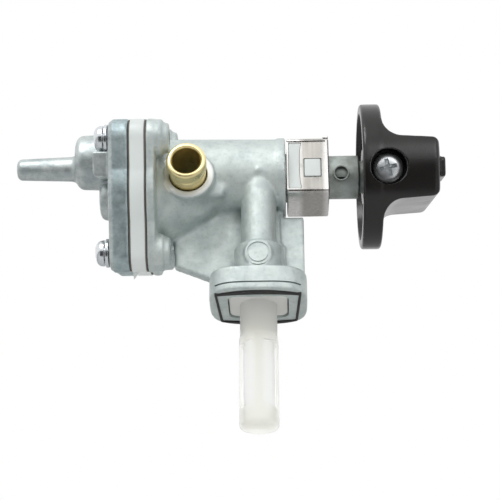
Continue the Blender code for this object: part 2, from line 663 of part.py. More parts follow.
def plunger(metal, rubber, block):
    """What the diaphragms carry: a stem with its spool, two plates and the valve's seal."""
    seal_face = SEAT_TOP - FIT
    spool_left = VACUUM_SHEET_X + DIAPHRAGM / 2 + FIT
    spool_right = FUEL_SHEET_X - DIAPHRAGM / 2 - FIT
    plate_left = VACUUM_SHEET_X - DIAPHRAGM / 2 - FIT
    plate_right = FUEL_SHEET_X + DIAPHRAGM / 2 + FIT
    head = 2.7 * MM
    rivet = plate_left - PLATE - FIT
    holder = plate_right + PLATE + FIT
    turned("valve_stem", [
        (rivet - 0.8 * MM, 0), (rivet - 0.8 * MM, head - 0.5 * MM), (rivet - 0.3 * MM, head), (rivet, head),
        (rivet, STEM_RADIUS), (spool_left, STEM_RADIUS), (spool_left, PLATE_RADIUS),
        (spool_right, PLATE_RADIUS), (spool_right, STEM_RADIUS), (holder, STEM_RADIUS),
        (holder, STEM_RADIUS - 0.5 * MM), (seal_face - 0.2 * MM, STEM_RADIUS - 0.5 * MM),
        (seal_face - 0.2 * MM, 0),
    ], metal, steps=16, parent=block)
    hole = STEM_RADIUS + FIT
    for name, left in (("vacuum_plate", plate_left - PLATE), ("fuel_plate", plate_right)):
        right = left + PLATE
        turned(name, [(left, hole), (left, PLATE_RADIUS), (right, PLATE_RADIUS), (right, hole)],
               metal, steps=16, loop=True, parent=block)
    inner = STEM_RADIUS - 0.5 * MM + FIT
    outer = SEAT_RADIUS - 0.4 * MM
    turned("valve_seal", [(holder, inner), (holder, outer), (seal_face, outer), (seal_face, inner)],
           rubber, steps=16, loop=True, parent=block)
    return plate_left - PLATE


def diaphragm_spring(finish, block, plate_face):
    """A compression spring from the bottom of the cover's cup to the vacuum plate."""
    start = CUP_LEFT + CUP_WALL + FIT + SPRING_WIRE
    end = plate_face - FIT - SPRING_WIRE
    steps = 9
    total = SPRING_TURNS * steps
    coil = bpy.data.curves.new("diaphragm_spring", "CURVE")
    coil.dimensions = "3D"
    coil.bevel_depth = SPRING_WIRE
    coil.bevel_resolution = 1
    coil.use_fill_caps = True
    line = coil.splines.new("POLY")
    line.points.add(total)
    for i, point in enumerate(line.points):
        turn = 2 * pi * i / steps
        place = start + (end - start) * i / total
        point.co = (place, SPRING_RADIUS * cos(turn), SPRING_RADIUS * sin(turn), 1)
    return add_object("diaphragm_spring", coil, finish, block)


def cover_screws(metal, block):
    """Four pan-head cross-recess screws, each on its washer."""
    under = COVER_LEFT - FIT - WASHER - FIT
    top = under - SCREW_HEAD
    radius = SCREW_HEAD_RADIUS
    crown = [(top + SCREW_HEAD * 0.75 * (1 - cos(t)), radius * sin(t) ** 0.8)
             for t in [pi / 2 * i / 4 for i in range(1, 5)]]
    mesh_data = turned("cover_screw_1", [
        (top, 0), *crown, (under, radius), (under, SCREW_RADIUS), (BOSS_END - 1 * MM, SCREW_RADIUS),
        (BOSS_END - 0.4 * MM, SCREW_RADIUS - 0.6 * MM), (BOSS_END - 0.4 * MM, 0),
    ], metal, steps=SMALL, parent=block)
    cross = cross_tool("cross_cutter", top, 1.5 * MM, 2.1 * MM, 0.45 * MM, block)
    for number, (across, up) in enumerate(screw_places(), 1):
        screw = mesh_data
        if number > 1:
            screw = add_object(f"cover_screw_{number}", mesh_data.data, None, block)
        screw.location = (0, across, up)
        cutter = cross
        if number > 1:
            cutter = helper(add_object(f"cross_cutter_{number}", cross.data, None, block))
        cutter.location = screw.location
        cut(screw, cutter)
        washer_face = COVER_LEFT - FIT
        turned(f"cover_washer_{number}", [
            (washer_face - WASHER, SCREW_RADIUS + FIT), (washer_face - WASHER, WASHER_RADIUS),
            (washer_face, WASHER_RADIUS), (washer_face, SCREW_RADIUS + FIT),
        ], metal, at=(0, across, up), steps=SMALL, loop=True, parent=block)


def cross_tool(name, face, depth, reach, half, parent, axis="X"):
    """A cutter for a cross recess, narrower at its floor."""
    outer = [(reach, half), (half, half), (half, reach), (-half, reach), (-half, half), (-reach, half),
             (-reach, -half), (-half, -half), (-half, -reach), (half, -reach), (half, -half), (reach, -half)]
    shape = bmesh.new()
    place = {"X": lambda a, p: (a, *p), "Y": lambda a, p: (p[0], a, p[1])}[axis]
    rings = [[shape.verts.new(place(along, (x * share, y * share))) for x, y in outer]
             for along, share in ((face - 1 * MM, 1.0), (face + depth * 0.4, 1.0), (face + depth, 0.45))]
    stitch(shape, rings, False)
    shape.faces.new(rings[0])
    shape.faces.new(rings[-1])
    return from_bmesh(name, shape, None, parent)


def shaft_bush(finish):
    """The white bush: a spigot in the barrel, a square head in the clip, and two catches."""
    hole = SHAFT_RADIUS + FIT
    bush = extruded("shaft_bush", rounded_box(BUSH_HALF_Y, BUSH_HALF_Z, 0.8 * MM, 2), CLIP_X,
                    CLIP_END - CLIP_SHEET - FIT, finish, at=(0, 0, BARREL_HEIGHT))
    spigot_start = BARREL_END - SPIGOT
    waist = BUSH_HALF_Y - 0.1 * MM
    join(bush, turned("spigot_tool", [
        (spigot_start, 0), (spigot_start, BORE_RADIUS - FIT), (BARREL_END, BORE_RADIUS - FIT),
        (BARREL_END, waist), (CLIP_X + 1 * MM, waist), (CLIP_X + 1 * MM, 0),
    ], None, at=(0, 0, BARREL_HEIGHT)))
    catch = catch_outline(FIT)
    reach = CLIP_DEPTH / 2 - 0.1 * MM
    for side, name in ((-1, "front_catch_tool"), (1, "back_catch_tool")):
        join(bush, extruded(name, catch, side * (BUSH_HALF_Y - 1 * MM), side * reach, None, axis="Y",
                            at=(0, 0, BARREL_HEIGHT)))
    cut(bush, turned("bush_cutter", [
        (-1 * MM, 0), (-1 * MM, hole), (CLIP_END + 2 * MM, hole), (CLIP_END + 2 * MM, 0),
    ], None, at=(0, 0, BARREL_HEIGHT)))
    return bush


def catch_outline(inset=0.0):
    """The square window of the clip, which a catch of the bush fills."""
    right = CLIP_END - CLIP_SHEET - 1.2 * MM - inset
    left = right - CATCH_WIDTH + 2 * inset
    half = CATCH_HEIGHT / 2 - inset
    return [(left, -CATCH_DROP - half), (right, -CATCH_DROP - half), (right, -CATCH_DROP + half),
            (left, -CATCH_DROP + half)]


def retainer_clip(finish):
    """A stainless sheet cage over the bush's head, open towards the barrel."""
    half_y, half_z = CLIP_DEPTH / 2, CLIP_HEIGHT / 2
    axis = (0, 0, BARREL_HEIGHT)
    clip = extruded("retainer_clip", rounded_box(half_y, half_z, 1.1 * MM, 3), CLIP_X, CLIP_END, finish,
                    at=axis)
    hollow = rounded_box(half_y - CLIP_SHEET, half_z - CLIP_SHEET, 0.3 * MM, 2)
    cut(clip, extruded("clip_cutter", hollow, CLIP_X - 1 * MM, CLIP_END - CLIP_SHEET, None, at=axis))
    hole = circle(SHAFT_RADIUS + FIT)
    cut(clip, extruded("clip_hole_cutter", hole, CLIP_X, CLIP_END + 1 * MM, None, at=axis))
    slot_left = CLIP_X + SLOT_START
    slot_half = half_z - CLIP_SHEET - 0.6 * MM
    corner = 1.0 * MM
    slot = [(slot_left + SLOT_WIDTH, -slot_half), (slot_left + SLOT_WIDTH, slot_half),
            *arc((slot_left + corner, slot_half - corner), corner, 90, 180, 4),
            *arc((slot_left + corner, -slot_half + corner), corner, 180, 270, 4)]
    for side, name in ((-1, "front"), (1, "back")):
        near, far = side * (half_y - 2 * CLIP_SHEET), side * (half_y + 1 * MM)
        cut(clip, extruded(f"{name}_window_cutter", catch_outline(), near, far, None, axis="Y", at=axis),
            extruded(f"{name}_slot_cutter", slot, near, far, None, axis="Y", at=axis))
    return clip


def valve_rotor(finish, turn_axis):
    """The alloy shaft: a ported cup in the barrel, a seal groove, and a tang for the knob."""
    cup = BORE_RADIUS - FIT
    cup_end = ROTOR_FACE + ROTOR_CUP
    groove = SHAFT_RADIUS - 2 * SEAL_WIRE - FIT
    groove_half = SEAL_WIRE + FIT
    tang_end = KNOB_X + KNOB_DEPTH * 0.62
    edge = 0.4 * MM
    rotor = turned("valve_rotor", [
        (ROTOR_FACE, 0), (ROTOR_FACE, cup), (cup_end, cup), (cup_end, SHAFT_RADIUS),
        (SEAL_X - groove_half, SHAFT_RADIUS), (SEAL_X - groove_half, groove),
        (SEAL_X + groove_half, groove), (SEAL_X + groove_half, SHAFT_RADIUS),
        (SHAFT_END - edge, SHAFT_RADIUS), (SHAFT_END, SHAFT_RADIUS - edge), (SHAFT_END, TANG_RADIUS),
        (tang_end, TANG_RADIUS), (tang_end, 0),
    ], finish, steps=27, parent=turn_axis)
    hollow = cup - ROTOR_WALL
    hollow_end = cup_end - ROTOR_WALL
    cut(rotor, turned("rotor_cutter", [
        (ROTOR_FACE - 1 * MM, 0), (ROTOR_FACE - 1 * MM, hollow), (hollow_end, hollow), (hollow_end, 0),
    ], None, steps=23, parent=turn_axis))
    port = extruded("port_cutter", circle(ROTOR_PORT, 16), -cup - 1 * MM, 1 * MM - hollow, None,
                    axis="Z", at=((ROTOR_FACE + hollow_end) / 2, 0, 0), parent=turn_axis)
    drill = extruded("tang_cutter", circle(KNOB_SCREW_RADIUS + 0.15 * MM, 16), -TANG_RADIUS - 1 * MM,
                     1.4 * MM, None, axis="Y", at=(KNOB_X + SCREW_WELL_X, 0, 0), parent=turn_axis)
    cut(rotor, port, drill)
    return tang_end


def shaft_seal(finish, turn_axis):
    """A rubber ring in the shaft's groove."""
    centre = SHAFT_RADIUS - SEAL_WIRE - 0.05 * MM
    sides = 6
    profile = [(SEAL_X + SEAL_WIRE * sin(2 * pi * i / sides), centre + SEAL_WIRE * cos(2 * pi * i / sides))
               for i in range(sides)]
    return turned("shaft_seal", profile, finish, steps=24, loop=True, parent=turn_axis)


def valve_packing(finish):
    """The rubber disc at the bottom of the barrel, with the ports that the rotor opens."""
    right = ROTOR_FACE - FIT
    packing = extruded("valve_packing", circle(BORE_RADIUS - FIT), right - PACKING, right, finish,
                       at=(0, 0, BARREL_HEIGHT))
    for number in range(4):
        turn = pi / 4 + number * pi / 2
        centre = (PACKING_REACH * cos(turn), PACKING_REACH * sin(turn))
        cut(packing, extruded(f"packing_cutter_{number + 1}", circle(PACKING_PORT, 12, centre),
                              right - 2 * PACKING, right + 1 * MM, None, at=(0, 0, BARREL_HEIGHT)))
    return packing


def wave_washer(finish):
    """A thin spring washer with three waves, between the rotor and the bush."""
    left = ROTOR_FACE + ROTOR_CUP + FIT
    inner, outer = SHAFT_RADIUS + FIT, BORE_RADIUS - FIT
    thick, lift = 0.3 * MM, 0.25 * MM
    shape = bmesh.new()
    rings = []
    for radius, side in ((inner, 0), (outer, 0), (outer, thick), (inner, thick)):
        ring_points = []
        for i in range(30):
            turn = 2 * pi * i / 30
            place = left + lift * (1 + sin(3 * turn)) + side
            ring_points.append(shape.verts.new((place, radius * cos(turn), radius * sin(turn))))
        rings.append(ring_points)
    stitch(shape, rings, True)
    washer = from_bmesh("wave_washer", shape, finish)
    washer.location = (0, 0, BARREL_HEIGHT)
    return washer


def knob(finish, turn_axis, tang_end):
    """The turn knob: a dished disc and a grip across it, blended by hollow fillets."""
    edge = 1.0 * MM
    disc_front = KNOB_X + DISC
    top = KNOB_X + KNOB_DEPTH
    made = turned("knob", [
        (KNOB_X, 0), (KNOB_X, KNOB_RADIUS - 0.3 * MM), (KNOB_X + 0.3 * MM, KNOB_RADIUS),
        (disc_front - edge, KNOB_RADIUS), (disc_front - 0.3 * edge, KNOB_RADIUS - 0.3 * edge),
        (disc_front, KNOB_RADIUS - edge), (disc_front, 0),
    ], finish, steps=FINE, parent=turn_axis)
    grip = extruded("grip_tool", grip_outline(disc_front, top), -KNOB_RADIUS - 1 * MM, KNOB_RADIUS + 1 * MM,
                    None, axis="Y", parent=turn_axis)
    crown = [(top - GRIP_CROWN + GRIP_CROWN * sin(t), KNOB_RADIUS - 2 * GRIP_CROWN * (1 - cos(t)))
             for t in [pi / 2 * i / 4 for i in range(5)]]
    crop = turned("grip_crop_tool", [(KNOB_X, 0), (KNOB_X, KNOB_RADIUS - 0.1 * MM), *crown, (top, 0)],
                  None, steps=FINE, parent=turn_axis)
    combine(grip, crop, "INTERSECT")
    pointer = extruded("pointer_tool", rounded_box(POINTER_LENGTH / 2, POINTER_WIDTH / 2, 0.8 * MM),
                       top - 1 * MM, top + POINTER_RISE, None, parent=turn_axis,
                       at=(0, -KNOB_RADIUS + POINTER_SETBACK + POINTER_LENGTH / 2, 0))
    join(made, grip, pointer)
    cut(made, *knob_cuts(turn_axis, tang_end))
    return made


def grip_outline(disc_front, top):
    """The grip's section: hollow fillets at the disc, drafted sides and round top edges."""
    upper = [*[(disc_front + GRIP_FILLET * (1 - cos(t)), GRIP_ROOT_HALF + GRIP_FILLET * (1 - sin(t)))
               for t in [pi / 2 * i / 6 for i in range(7)]],
             *arc((top - GRIP_EDGE, GRIP_HALF - GRIP_EDGE), GRIP_EDGE, 90, 0, 5)]
    upper = [(disc_front - 1 * MM, GRIP_ROOT_HALF + GRIP_FILLET), *upper]
    return upper + [(x, -z) for x, z in upper[::-1]]


def knob_cuts(turn_axis, tang_end):
    """The dish in the knob's back, the hub's recess, the tang's socket and the screw's well."""
    beyond = 1 * MM
    hub_face = KNOB_X + HUB_RECESS
    dish = turned("dish_cutter", [
        (KNOB_X - beyond, HUB_RADIUS), (KNOB_X - beyond, DISH_RADIUS),
        (KNOB_X + DISH_DEPTH, DISH_RADIUS - 0.4 * MM), (KNOB_X + DISH_DEPTH, HUB_RADIUS),
    ], None, steps=40, loop=True, parent=turn_axis)
    hub = turned("hub_cutter", [
        (KNOB_X - beyond, 0), (KNOB_X - beyond, HUB_RADIUS + 0.5 * MM), (hub_face, HUB_RADIUS + 0.5 * MM),
        (hub_face, 0)], None, parent=turn_axis)
    socket = turned("socket_cutter", [
        (KNOB_X - beyond, 0), (KNOB_X - beyond, TANG_RADIUS + FIT), (tang_end + FIT, TANG_RADIUS + FIT),
        (tang_end + FIT, 0)], None, parent=turn_axis)
    well_floor = -KNOB_RADIUS + SCREW_WELL_DEPTH
    well = turned("screw_well_cutter", [
        (-KNOB_RADIUS - beyond, 0), (-KNOB_RADIUS - beyond, SCREW_WELL_RADIUS),
        (well_floor, SCREW_WELL_RADIUS), (well_floor, KNOB_SCREW_RADIUS + FIT),
        (0, KNOB_SCREW_RADIUS + FIT), (0, 0),
    ], None, axis="Y", at=(KNOB_X + SCREW_WELL_X, 0, 0), parent=turn_axis)
    return [dish, hub, socket, well]


def knob_screw(finish, turn_axis):
    """The screw that runs through the grip's end into the shaft's tang."""
    seat = -KNOB_RADIUS + SCREW_WELL_DEPTH - FIT
    top = seat - KNOB_SCREW_HEIGHT
    radius = KNOB_SCREW_HEAD
    crown = [(top + 1.5 * MM * (1 - cos(t)), radius * sin(t) ** 0.8)
             for t in [pi / 2 * i / 4 for i in range(1, 5)]]
    screw = turned("knob_screw", [
        (top, 0), *crown, (seat, radius), (seat, KNOB_SCREW_RADIUS), (0.4 * MM, KNOB_SCREW_RADIUS),
        (0.9 * MM, KNOB_SCREW_RADIUS - 0.5 * MM), (0.9 * MM, 0),
    ], finish, axis="Y", at=(KNOB_X + SCREW_WELL_X, 0, 0), steps=SMALL + 4, parent=turn_axis)
    cross = cross_tool("knob_cross_cutter", top, 1.4 * MM, 2.0 * MM, 0.45 * MM, turn_axis, axis="Y")
    cross.location = screw.location
    cut(screw, cross)
    return screw


def strainer(finish, gauze_finish):
    """The nylon strainer: base plate, tube and a cage with windows, and the gauze inside it."""
    top = POCKET_DEPTH - FIT
    low = top - BASE_PLATE
    plate = extruded("strainer", rounded_box(POCKET_HALF_X - FIT, POCKET_HALF_Y - FIT, 2.3 * MM), low, top,
                     finish, axis="Z")
    tube_end = -TUBE_LENGTH
    soft = 1.2 * MM
    bottom = arc((CAGE_BOTTOM + soft, CAGE_RADIUS - soft), soft, 180, 90, 3)
    join(plate, turned("cage_tool", [
        (CAGE_BOTTOM, 0), *bottom, (tube_end - 0.6 * MM, CAGE_RADIUS), (tube_end, TUBE_RADIUS),
        (low + 0.5 * MM, TUBE_RADIUS), (low + 0.5 * MM, 0)], None, axis="Z"))
    inner = TUBE_RADIUS - TUBE_WALL
    cut(plate, turned("strainer_cutter", [
        (CAGE_BOTTOM + 1.5 * MM, 0), (CAGE_BOTTOM + 1.5 * MM, CAGE_RADIUS - CAGE_WALL),
        (WINDOW_TOP + 1 * MM, CAGE_RADIUS - CAGE_WALL), (WINDOW_TOP + 2 * MM, inner),
        (top + 1 * MM, inner), (top + 1 * MM, 0)], None, axis="Z"))
    bar = 0.9 * MM
    for number in range(WINDOWS):
        turn = pi / WINDOWS + 2 * pi * number / WINDOWS
        half = CAGE_RADIUS * sin(pi / WINDOWS) - bar
        outline = rounded_box(half, (WINDOW_TOP - WINDOW_BOTTOM) / 2, 0.6 * MM, 2)
        tool = extruded(f"window_cutter_{number + 1}", outline, CAGE_RADIUS * 0.5, CAGE_RADIUS * 1.3,
                        None, axis="Y", at=(0, 0, (WINDOW_TOP + WINDOW_BOTTOM) / 2))
        tool.rotation_euler = (0, 0, turn)
        cut(plate, tool)
    outer = CAGE_RADIUS - CAGE_WALL - FIT
    low, high = CAGE_BOTTOM + 1.5 * MM + FIT, WINDOW_TOP + 0.7 * MM
    turned("strainer_gauze", [(low, outer), (high, outer), (high, outer - GAUZE), (low, outer - GAUZE)],
           gauze_finish, axis="Z", steps=20, loop=True)
    return plate


def tank_gasket(finish):
    """The rubber gasket in the groove of the tank flange."""
    outer = extruded("tank_gasket", groove_outer(FIT), -GASKET_PROUD, GROOVE_DEPTH - FIT, finish,
                     axis="Z")
    inner = extruded("gasket_cutter", groove_inner(-FIT), -2 * GASKET_PROUD, GROOVE_DEPTH + 1 * MM, None,
                     axis="Z")
    cut(outer, inner)
    return outer


def build():
    clear_scene()
    cast_alloy = material("cast_alloy", (0.62, 0.66, 0.67), 0.38, 0.9)
    shaft_alloy = material("shaft_alloy", (0.45, 0.46, 0.47), 0.42, 0.9)
    brass = material("brass", (0.78, 0.62, 0.25), 0.25, 1.0)
    acetal = material("acetal", (0.9, 0.91, 0.9), 0.4)
    rubber = material("rubber", (0.03, 0.03, 0.03), 0.7)
    plated = material("plated_steel", (0.75, 0.78, 0.8), 0.2, 1.0)
    stainless = material("stainless", (0.72, 0.71, 0.68), 0.25, 1.0)
    black_plastic = material("black_plastic", (0.03, 0.028, 0.026), 0.35)
    nylon = material("nylon", (0.85, 0.86, 0.83), 0.35)
    gauze = material("gauze", (0.88, 0.88, 0.86), 0.6)

    block = empty("block_frame", (0, BLOCK_Y, BLOCK_Z), TILT)
    turn_axis = empty("knob_axis", (0, 0, BARREL_HEIGHT), KNOB_TURN)

    tap_body(cast_alloy, block)
    outlet_pipe(brass)
    diaphragm_cover(cast_alloy, block)
    spacer_plate(acetal, block)
    diaphragm("vacuum_diaphragm", VACUUM_SHEET_X, -0.9 * MM, rubber, block)
    diaphragm("fuel_diaphragm", FUEL_SHEET_X, 0.9 * MM, rubber, block)
    plate_face = plunger(brass, rubber, block)
    diaphragm_spring(stainless, block, plate_face)
    cover_screws(plated, block)
    tank_gasket(rubber)
    strainer(nylon, gauze)
    valve_packing(rubber)
    shaft_bush(acetal)
    retainer_clip(stainless)
    tang_end = valve_rotor(shaft_alloy, turn_axis)
    shaft_seal(rubber, turn_axis)
    wave_washer(stainless)
    knob(black_plastic, turn_axis, tang_end)
    knob_screw(plated, turn_axis)


build()
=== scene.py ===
from math import acos, cos, degrees, pi, radians, sin

import bmesh
import bpy
from mathutils import Matrix, Vector

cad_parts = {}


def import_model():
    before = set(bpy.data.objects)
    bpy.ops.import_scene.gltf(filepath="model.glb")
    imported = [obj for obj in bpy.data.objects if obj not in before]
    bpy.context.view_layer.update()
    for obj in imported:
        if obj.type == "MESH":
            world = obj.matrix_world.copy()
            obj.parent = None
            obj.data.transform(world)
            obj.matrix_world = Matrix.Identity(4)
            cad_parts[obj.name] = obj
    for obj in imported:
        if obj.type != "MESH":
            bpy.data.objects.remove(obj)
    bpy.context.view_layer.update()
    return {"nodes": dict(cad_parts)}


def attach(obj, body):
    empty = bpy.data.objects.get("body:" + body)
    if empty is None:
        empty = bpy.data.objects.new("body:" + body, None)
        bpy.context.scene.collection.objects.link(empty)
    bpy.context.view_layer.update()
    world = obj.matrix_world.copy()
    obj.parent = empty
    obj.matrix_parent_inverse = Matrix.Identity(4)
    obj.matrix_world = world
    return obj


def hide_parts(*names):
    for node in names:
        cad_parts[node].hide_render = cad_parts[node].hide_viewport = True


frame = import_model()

MM = 0.001
FIT = 0.3  # the clearance between two pieces

# The part's sizes in mm, as in its source
FLANGE_WIDTH = 26.2
FLANGE_DEPTH = 25.0
FLANGE_HEIGHT = 7.1
FLANGE_SQUARENESS = 3.6
RIM_WIDTH = 1.1
GROOVE_WIDTH = 1.1
GROOVE_DEPTH = 1.4
LAND_WIDTH = 2.8
GASKET_PROUD = 0.4
POCKET_DEPTH = 3.0
PARTING_HEIGHT = 1.9
BARREL_HEIGHT = 39.0
BARREL_END = 7.8
BARREL_RADIUS = 10.9
BARREL_DRAFT = 0.5
COLLAR_RADIUS = 11.25
COLLAR_LENGTH = 2.5
BORE_RADIUS = 8.0
BORE_BOTTOM = -6.0
TILT = radians(25)
BLOCK_Y = 0.8
BLOCK_Z = BARREL_HEIGHT - 5.0
SIDE = 41.3
CORNER = 5.3
ROUND_RADIUS = 21.8
SCREW_SPACING = 30.7
BODY_FACE = -29.2
BODY_BACK = BODY_FACE + 2.2
BOSS_LENGTH = 3.7
BOSS_END = BODY_BACK + BOSS_LENGTH
SEAL_SPACE = 0.65
SPACER = 3.6
SPACER_RIGHT = BODY_FACE - SEAL_SPACE
SPACER_LEFT = SPACER_RIGHT - SPACER
COVER_RIGHT = SPACER_LEFT - SEAL_SPACE
COVER_LEFT = COVER_RIGHT - 5.35
CHAMBER_RADIUS = 13.6
CHAMBER_FLOOR = BODY_FACE + 4.5
SEAT_TOP = CHAMBER_FLOOR - 1.6
SEAT_RADIUS = 4.6
SEAT_BORE = 2.6
COVER_POCKET = 3.4
CUP_RADIUS = 6.2
CUP_LEFT = COVER_LEFT - 4.3
CUP_WALL = 1.2
DOME_RADIUS = 7.6
DOME_RISE = 10.0
DOME_LEFT = COVER_LEFT - 10.9
NIPPLE_RISE = 8.3
NIPPLE_END = DOME_LEFT - 16.7
NIPPLE_ROOT = 3.45
NIPPLE_TIP = 3.0
NIPPLE_BORE = 1.7
RIB_HEIGHT = 8.2
RIB_RISE = 9.0
SCREW_RADIUS = 1.9
SCREW_HEAD_RADIUS = 3.55
SCREW_HEAD = 2.6
WASHER = 0.9
WASHER_RADIUS = 3.9
OUTLET_X = -18.6
OUTLET_FACE = -13.0
OUTLET_RADIUS = 7.2
OUTLET_ROOT_RADIUS = 9.6
OUTLET_FLARE = 7.5
PIPE_TIP = -21.0
PIPE_ROOT = -6.0
PIPE_RADIUS = 4.9
BEAD_RADIUS = 5.35
BEAD_LENGTH = 4.2
PIPE_BORE = 3.8
NECK_X = 0.35
NECK_Y = -5.25
NECK_RADIUS = 4.8
NECK_BOSS_RADIUS = 6.6
NECK_BOSS_TOP = 15.2
INLET_RADIUS = 2.7
WEB_FRONT = -1.0
WEB_BACK = 2.0
WEB_RIGHT = 12.6
WEB_TOP = 26.4
WEB_ARC = 10.8
WEB_ARC_X = -12.3
WEB_ARC_Z = 18.2
WEB_TAIL = 6.15
CLIP_X = 8.15
CLIP_END = CLIP_X + 11.6
CLIP_DEPTH = 16.0
CLIP_HEIGHT = 17.0
CLIP_SHEET = 0.8
SLOT_START = 1.1
SLOT_WIDTH = 2.5
CATCH_WIDTH = 5.0
CATCH_HEIGHT = 5.9
CATCH_DROP = 0.8
SHAFT_RADIUS = 6.05
SHAFT_END = 28.1
TANG_RADIUS = 4.5
ROTOR_FACE = -2.6
ROTOR_CUP = 5.4
SPIGOT = 3.5
KNOB_TURN = radians(19.3)
KNOB_X = 28.45
KNOB_RADIUS = 20.2
DISC = 5.5
KNOB_DEPTH = 20.5
GRIP_HALF = 8.0
GRIP_ROOT_HALF = 8.5
GRIP_FILLET = 5.4
GRIP_EDGE = 2.2
GRIP_CROWN = 1.1
DISH_RADIUS = 17.8
DISH_DEPTH = 1.6
HUB_RADIUS = 7.6
HUB_RECESS = 0.8
SCREW_WELL_RADIUS = 4.9
SCREW_WELL_DEPTH = 5.6
SCREW_WELL_X = 6.85
KNOB_SCREW_RADIUS = 1.75
KNOB_SCREW_HEAD = 4.0
KNOB_SCREW_HEIGHT = 2.2
POINTER_RISE = 1.6
POINTER_LENGTH = 11.0
POINTER_WIDTH = 5.4
POINTER_SETBACK = 2.6
BASE_PLATE = 2.2
TUBE_RADIUS = 4.97
TUBE_WALL = 1.1
TUBE_LENGTH = 8.5
CAGE_RADIUS = 5.2
CAGE_WALL = 0.8
CAGE_BOTTOM = -34.0
WINDOW_TOP = -10.8
WINDOW_BOTTOM = -28.9
WINDOWS = 4
GAUZE = 0.3
POCKET_HALF_X = FLANGE_WIDTH / 2 - RIM_WIDTH - GROOVE_WIDTH - LAND_WIDTH
POCKET_HALF_Y = FLANGE_DEPTH / 2 - RIM_WIDTH - GROOVE_WIDTH - LAND_WIDTH

# What the scene adds to them
PAST = 1  # how far a cutter reaches past the face it cuts
NEARER = 0.1  # the plates of the block reach this much closer to the spacer
CAST_EDGE = 0.5
SWELL_WALL = 2.4
SWELL_REACH = 9.1
SWELL_TIP = 5.0
WEB_FOOT = FLANGE_HEIGHT - 2
COVER_INSIDE = 2.5
PARTING_MARGIN = 1.3
PARTING_DEPTH = 0.35
CAGE_FLOOR = 1.5
TANG_END = KNOB_X + KNOB_DEPTH * 0.62
MARK_LINES = (  # radius, width and depth
    (2.6, 0.45, 0.1),
    (3.5, 0.35, 0.07),
)

# Fillets of the castings and the knob: the size of the grid and the rounds of smoothing
BODY_GRID = 0.4
COVER_GRID = 0.35
KNOB_GRID = 0.32
MELT_ROUNDS = 5
EASE_LOW = (-29, -11, 17)
EASE_HIGH = (-5, 0, 34)
EASE_FADE = 4
EASE_ROUNDS = 70

# Places, in mm
METRES = Matrix.Scale(MM, 4)  # the step from mm to the scene's metres
BLOCK = Matrix.Translation((0, BLOCK_Y, BLOCK_Z)) @ Matrix.Rotation(TILT, 4, "X")
BARREL = Matrix.Translation((0, 0, BARREL_HEIGHT))
KNOB = BARREL @ Matrix.Rotation(KNOB_TURN, 4, "X")
OUTLET = Matrix.Translation((OUTLET_X, 0, BLOCK_Z))
NECK = Matrix.Translation((NECK_X, NECK_Y, 0))
SCREW_WELL = KNOB @ Matrix.Translation((KNOB_X + SCREW_WELL_X, 0, 0))
PIN_MARK = BARREL @ Matrix.Rotation(radians(16.9), 4, "X") @ Matrix.Translation((23.1, 0, 0))
NUB = Matrix.Translation((0.4, -10.0, 36.4))
MEDAL = Matrix.Translation((0.2, 0, 10.9))
HERE = Matrix.Identity(4)


# Meshes

def keep(name, shape, place=HERE):
    """The mesh as an object of the scene, at its place; both are given in mm."""
    bmesh.ops.recalc_face_normals(shape, faces=shape.faces)
    bmesh.ops.transform(shape, matrix=METRES @ place, verts=shape.verts)
    data = bpy.data.meshes.new(name)
    shape.to_mesh(data)
    shape.free()
    made = bpy.data.objects.new(name, data)
    bpy.context.scene.collection.objects.link(made)
    shade(made)
    return made


def shade(piece, sharp=35):
    piece.data.shade_smooth()
    piece.data.set_sharp_from_angle(angle=radians(sharp))


def stitch(shape, rings, loop):
    """Faces between neighbouring rings; a ring of one point is a tip."""
    pairs = list(zip(rings, rings[1:]))
    if loop:
        pairs.append((rings[-1], rings[0]))
    for first, second in pairs:
        count = max(len(first), len(second))
        for i in range(count if count > 1 else 0):
            j = (i + 1) % count
            corners = [first[i % len(first)], first[j % len(first)],
                       second[j % len(second)], second[i % len(second)]]
            unique = list(dict.fromkeys(corners))
            if len(unique) > 2:
                shape.faces.new(unique)


AXES = {  # a place along the axis and two across it
    "X": lambda a, u, v: (a, u, v),
    "Y": lambda a, u, v: (u, a, v),
    "Z": lambda a, u, v: (u, v, a),
}


def turned(name, profile, place=HERE, axis="X", steps=96, loop=False):
    """A solid of revolution from (along, radius) points: a ring, or else closed at both ends."""
    if not loop:
        first, last = ([(along, 0)] if radius else [] for along, radius in (profile[0], profile[-1]))
        profile = [*first, *profile, *last]
    shape = bmesh.new()
    rings = []
    for along, radius in profile:
        spots = [(radius * cos(2 * pi * i / steps), radius * sin(2 * pi * i / steps))
                 for i in range(steps if radius else 1)]
        if axis == "Y":
            spots = [(v, u) for u, v in spots]
        rings.append([shape.verts.new(AXES[axis](along, *spot)) for spot in spots])
    stitch(shape, rings, loop)
    return keep(name, shape, place)


def drum(name, start, end, radius, place=HERE, axis="X", steps=96):
    return turned(name, [(start, radius), (end, radius)], place, axis, steps)


def hoop(name, start, end, inner, outer, place=HERE, axis="X"):
    line = [(start, inner), (start, outer), (end, outer), (end, inner)]
    return turned(name, line, place, axis, loop=True)


def soft(points, radius, closed=False, count=4):
    """The same line with its corners rounded off, as far as the neighbouring stretches allow."""
    nothing, most = 1e-4, 0.45
    out = []
    last = len(points) - 1
    for i, corner in enumerate(points):
        if not closed and i in (0, last):
            out.append(corner)
            continue
        here = Vector(corner)
        before, after = Vector(points[i - 1]) - here, Vector(points[(i + 1) % (last + 1)]) - here
        if before.length < nothing or after.length < nothing:
            out.append(corner)
            continue
        reach = min(radius, before.length * most, after.length * most)
        start, end = here + before.normalized() * reach, here + after.normalized() * reach
        for k in range(count + 1):
            t = k / count
            spot = start * (1 - t) ** 2 + here * 2 * t * (1 - t) + end * t * t
            out.append((spot.x, spot.y))
    return out


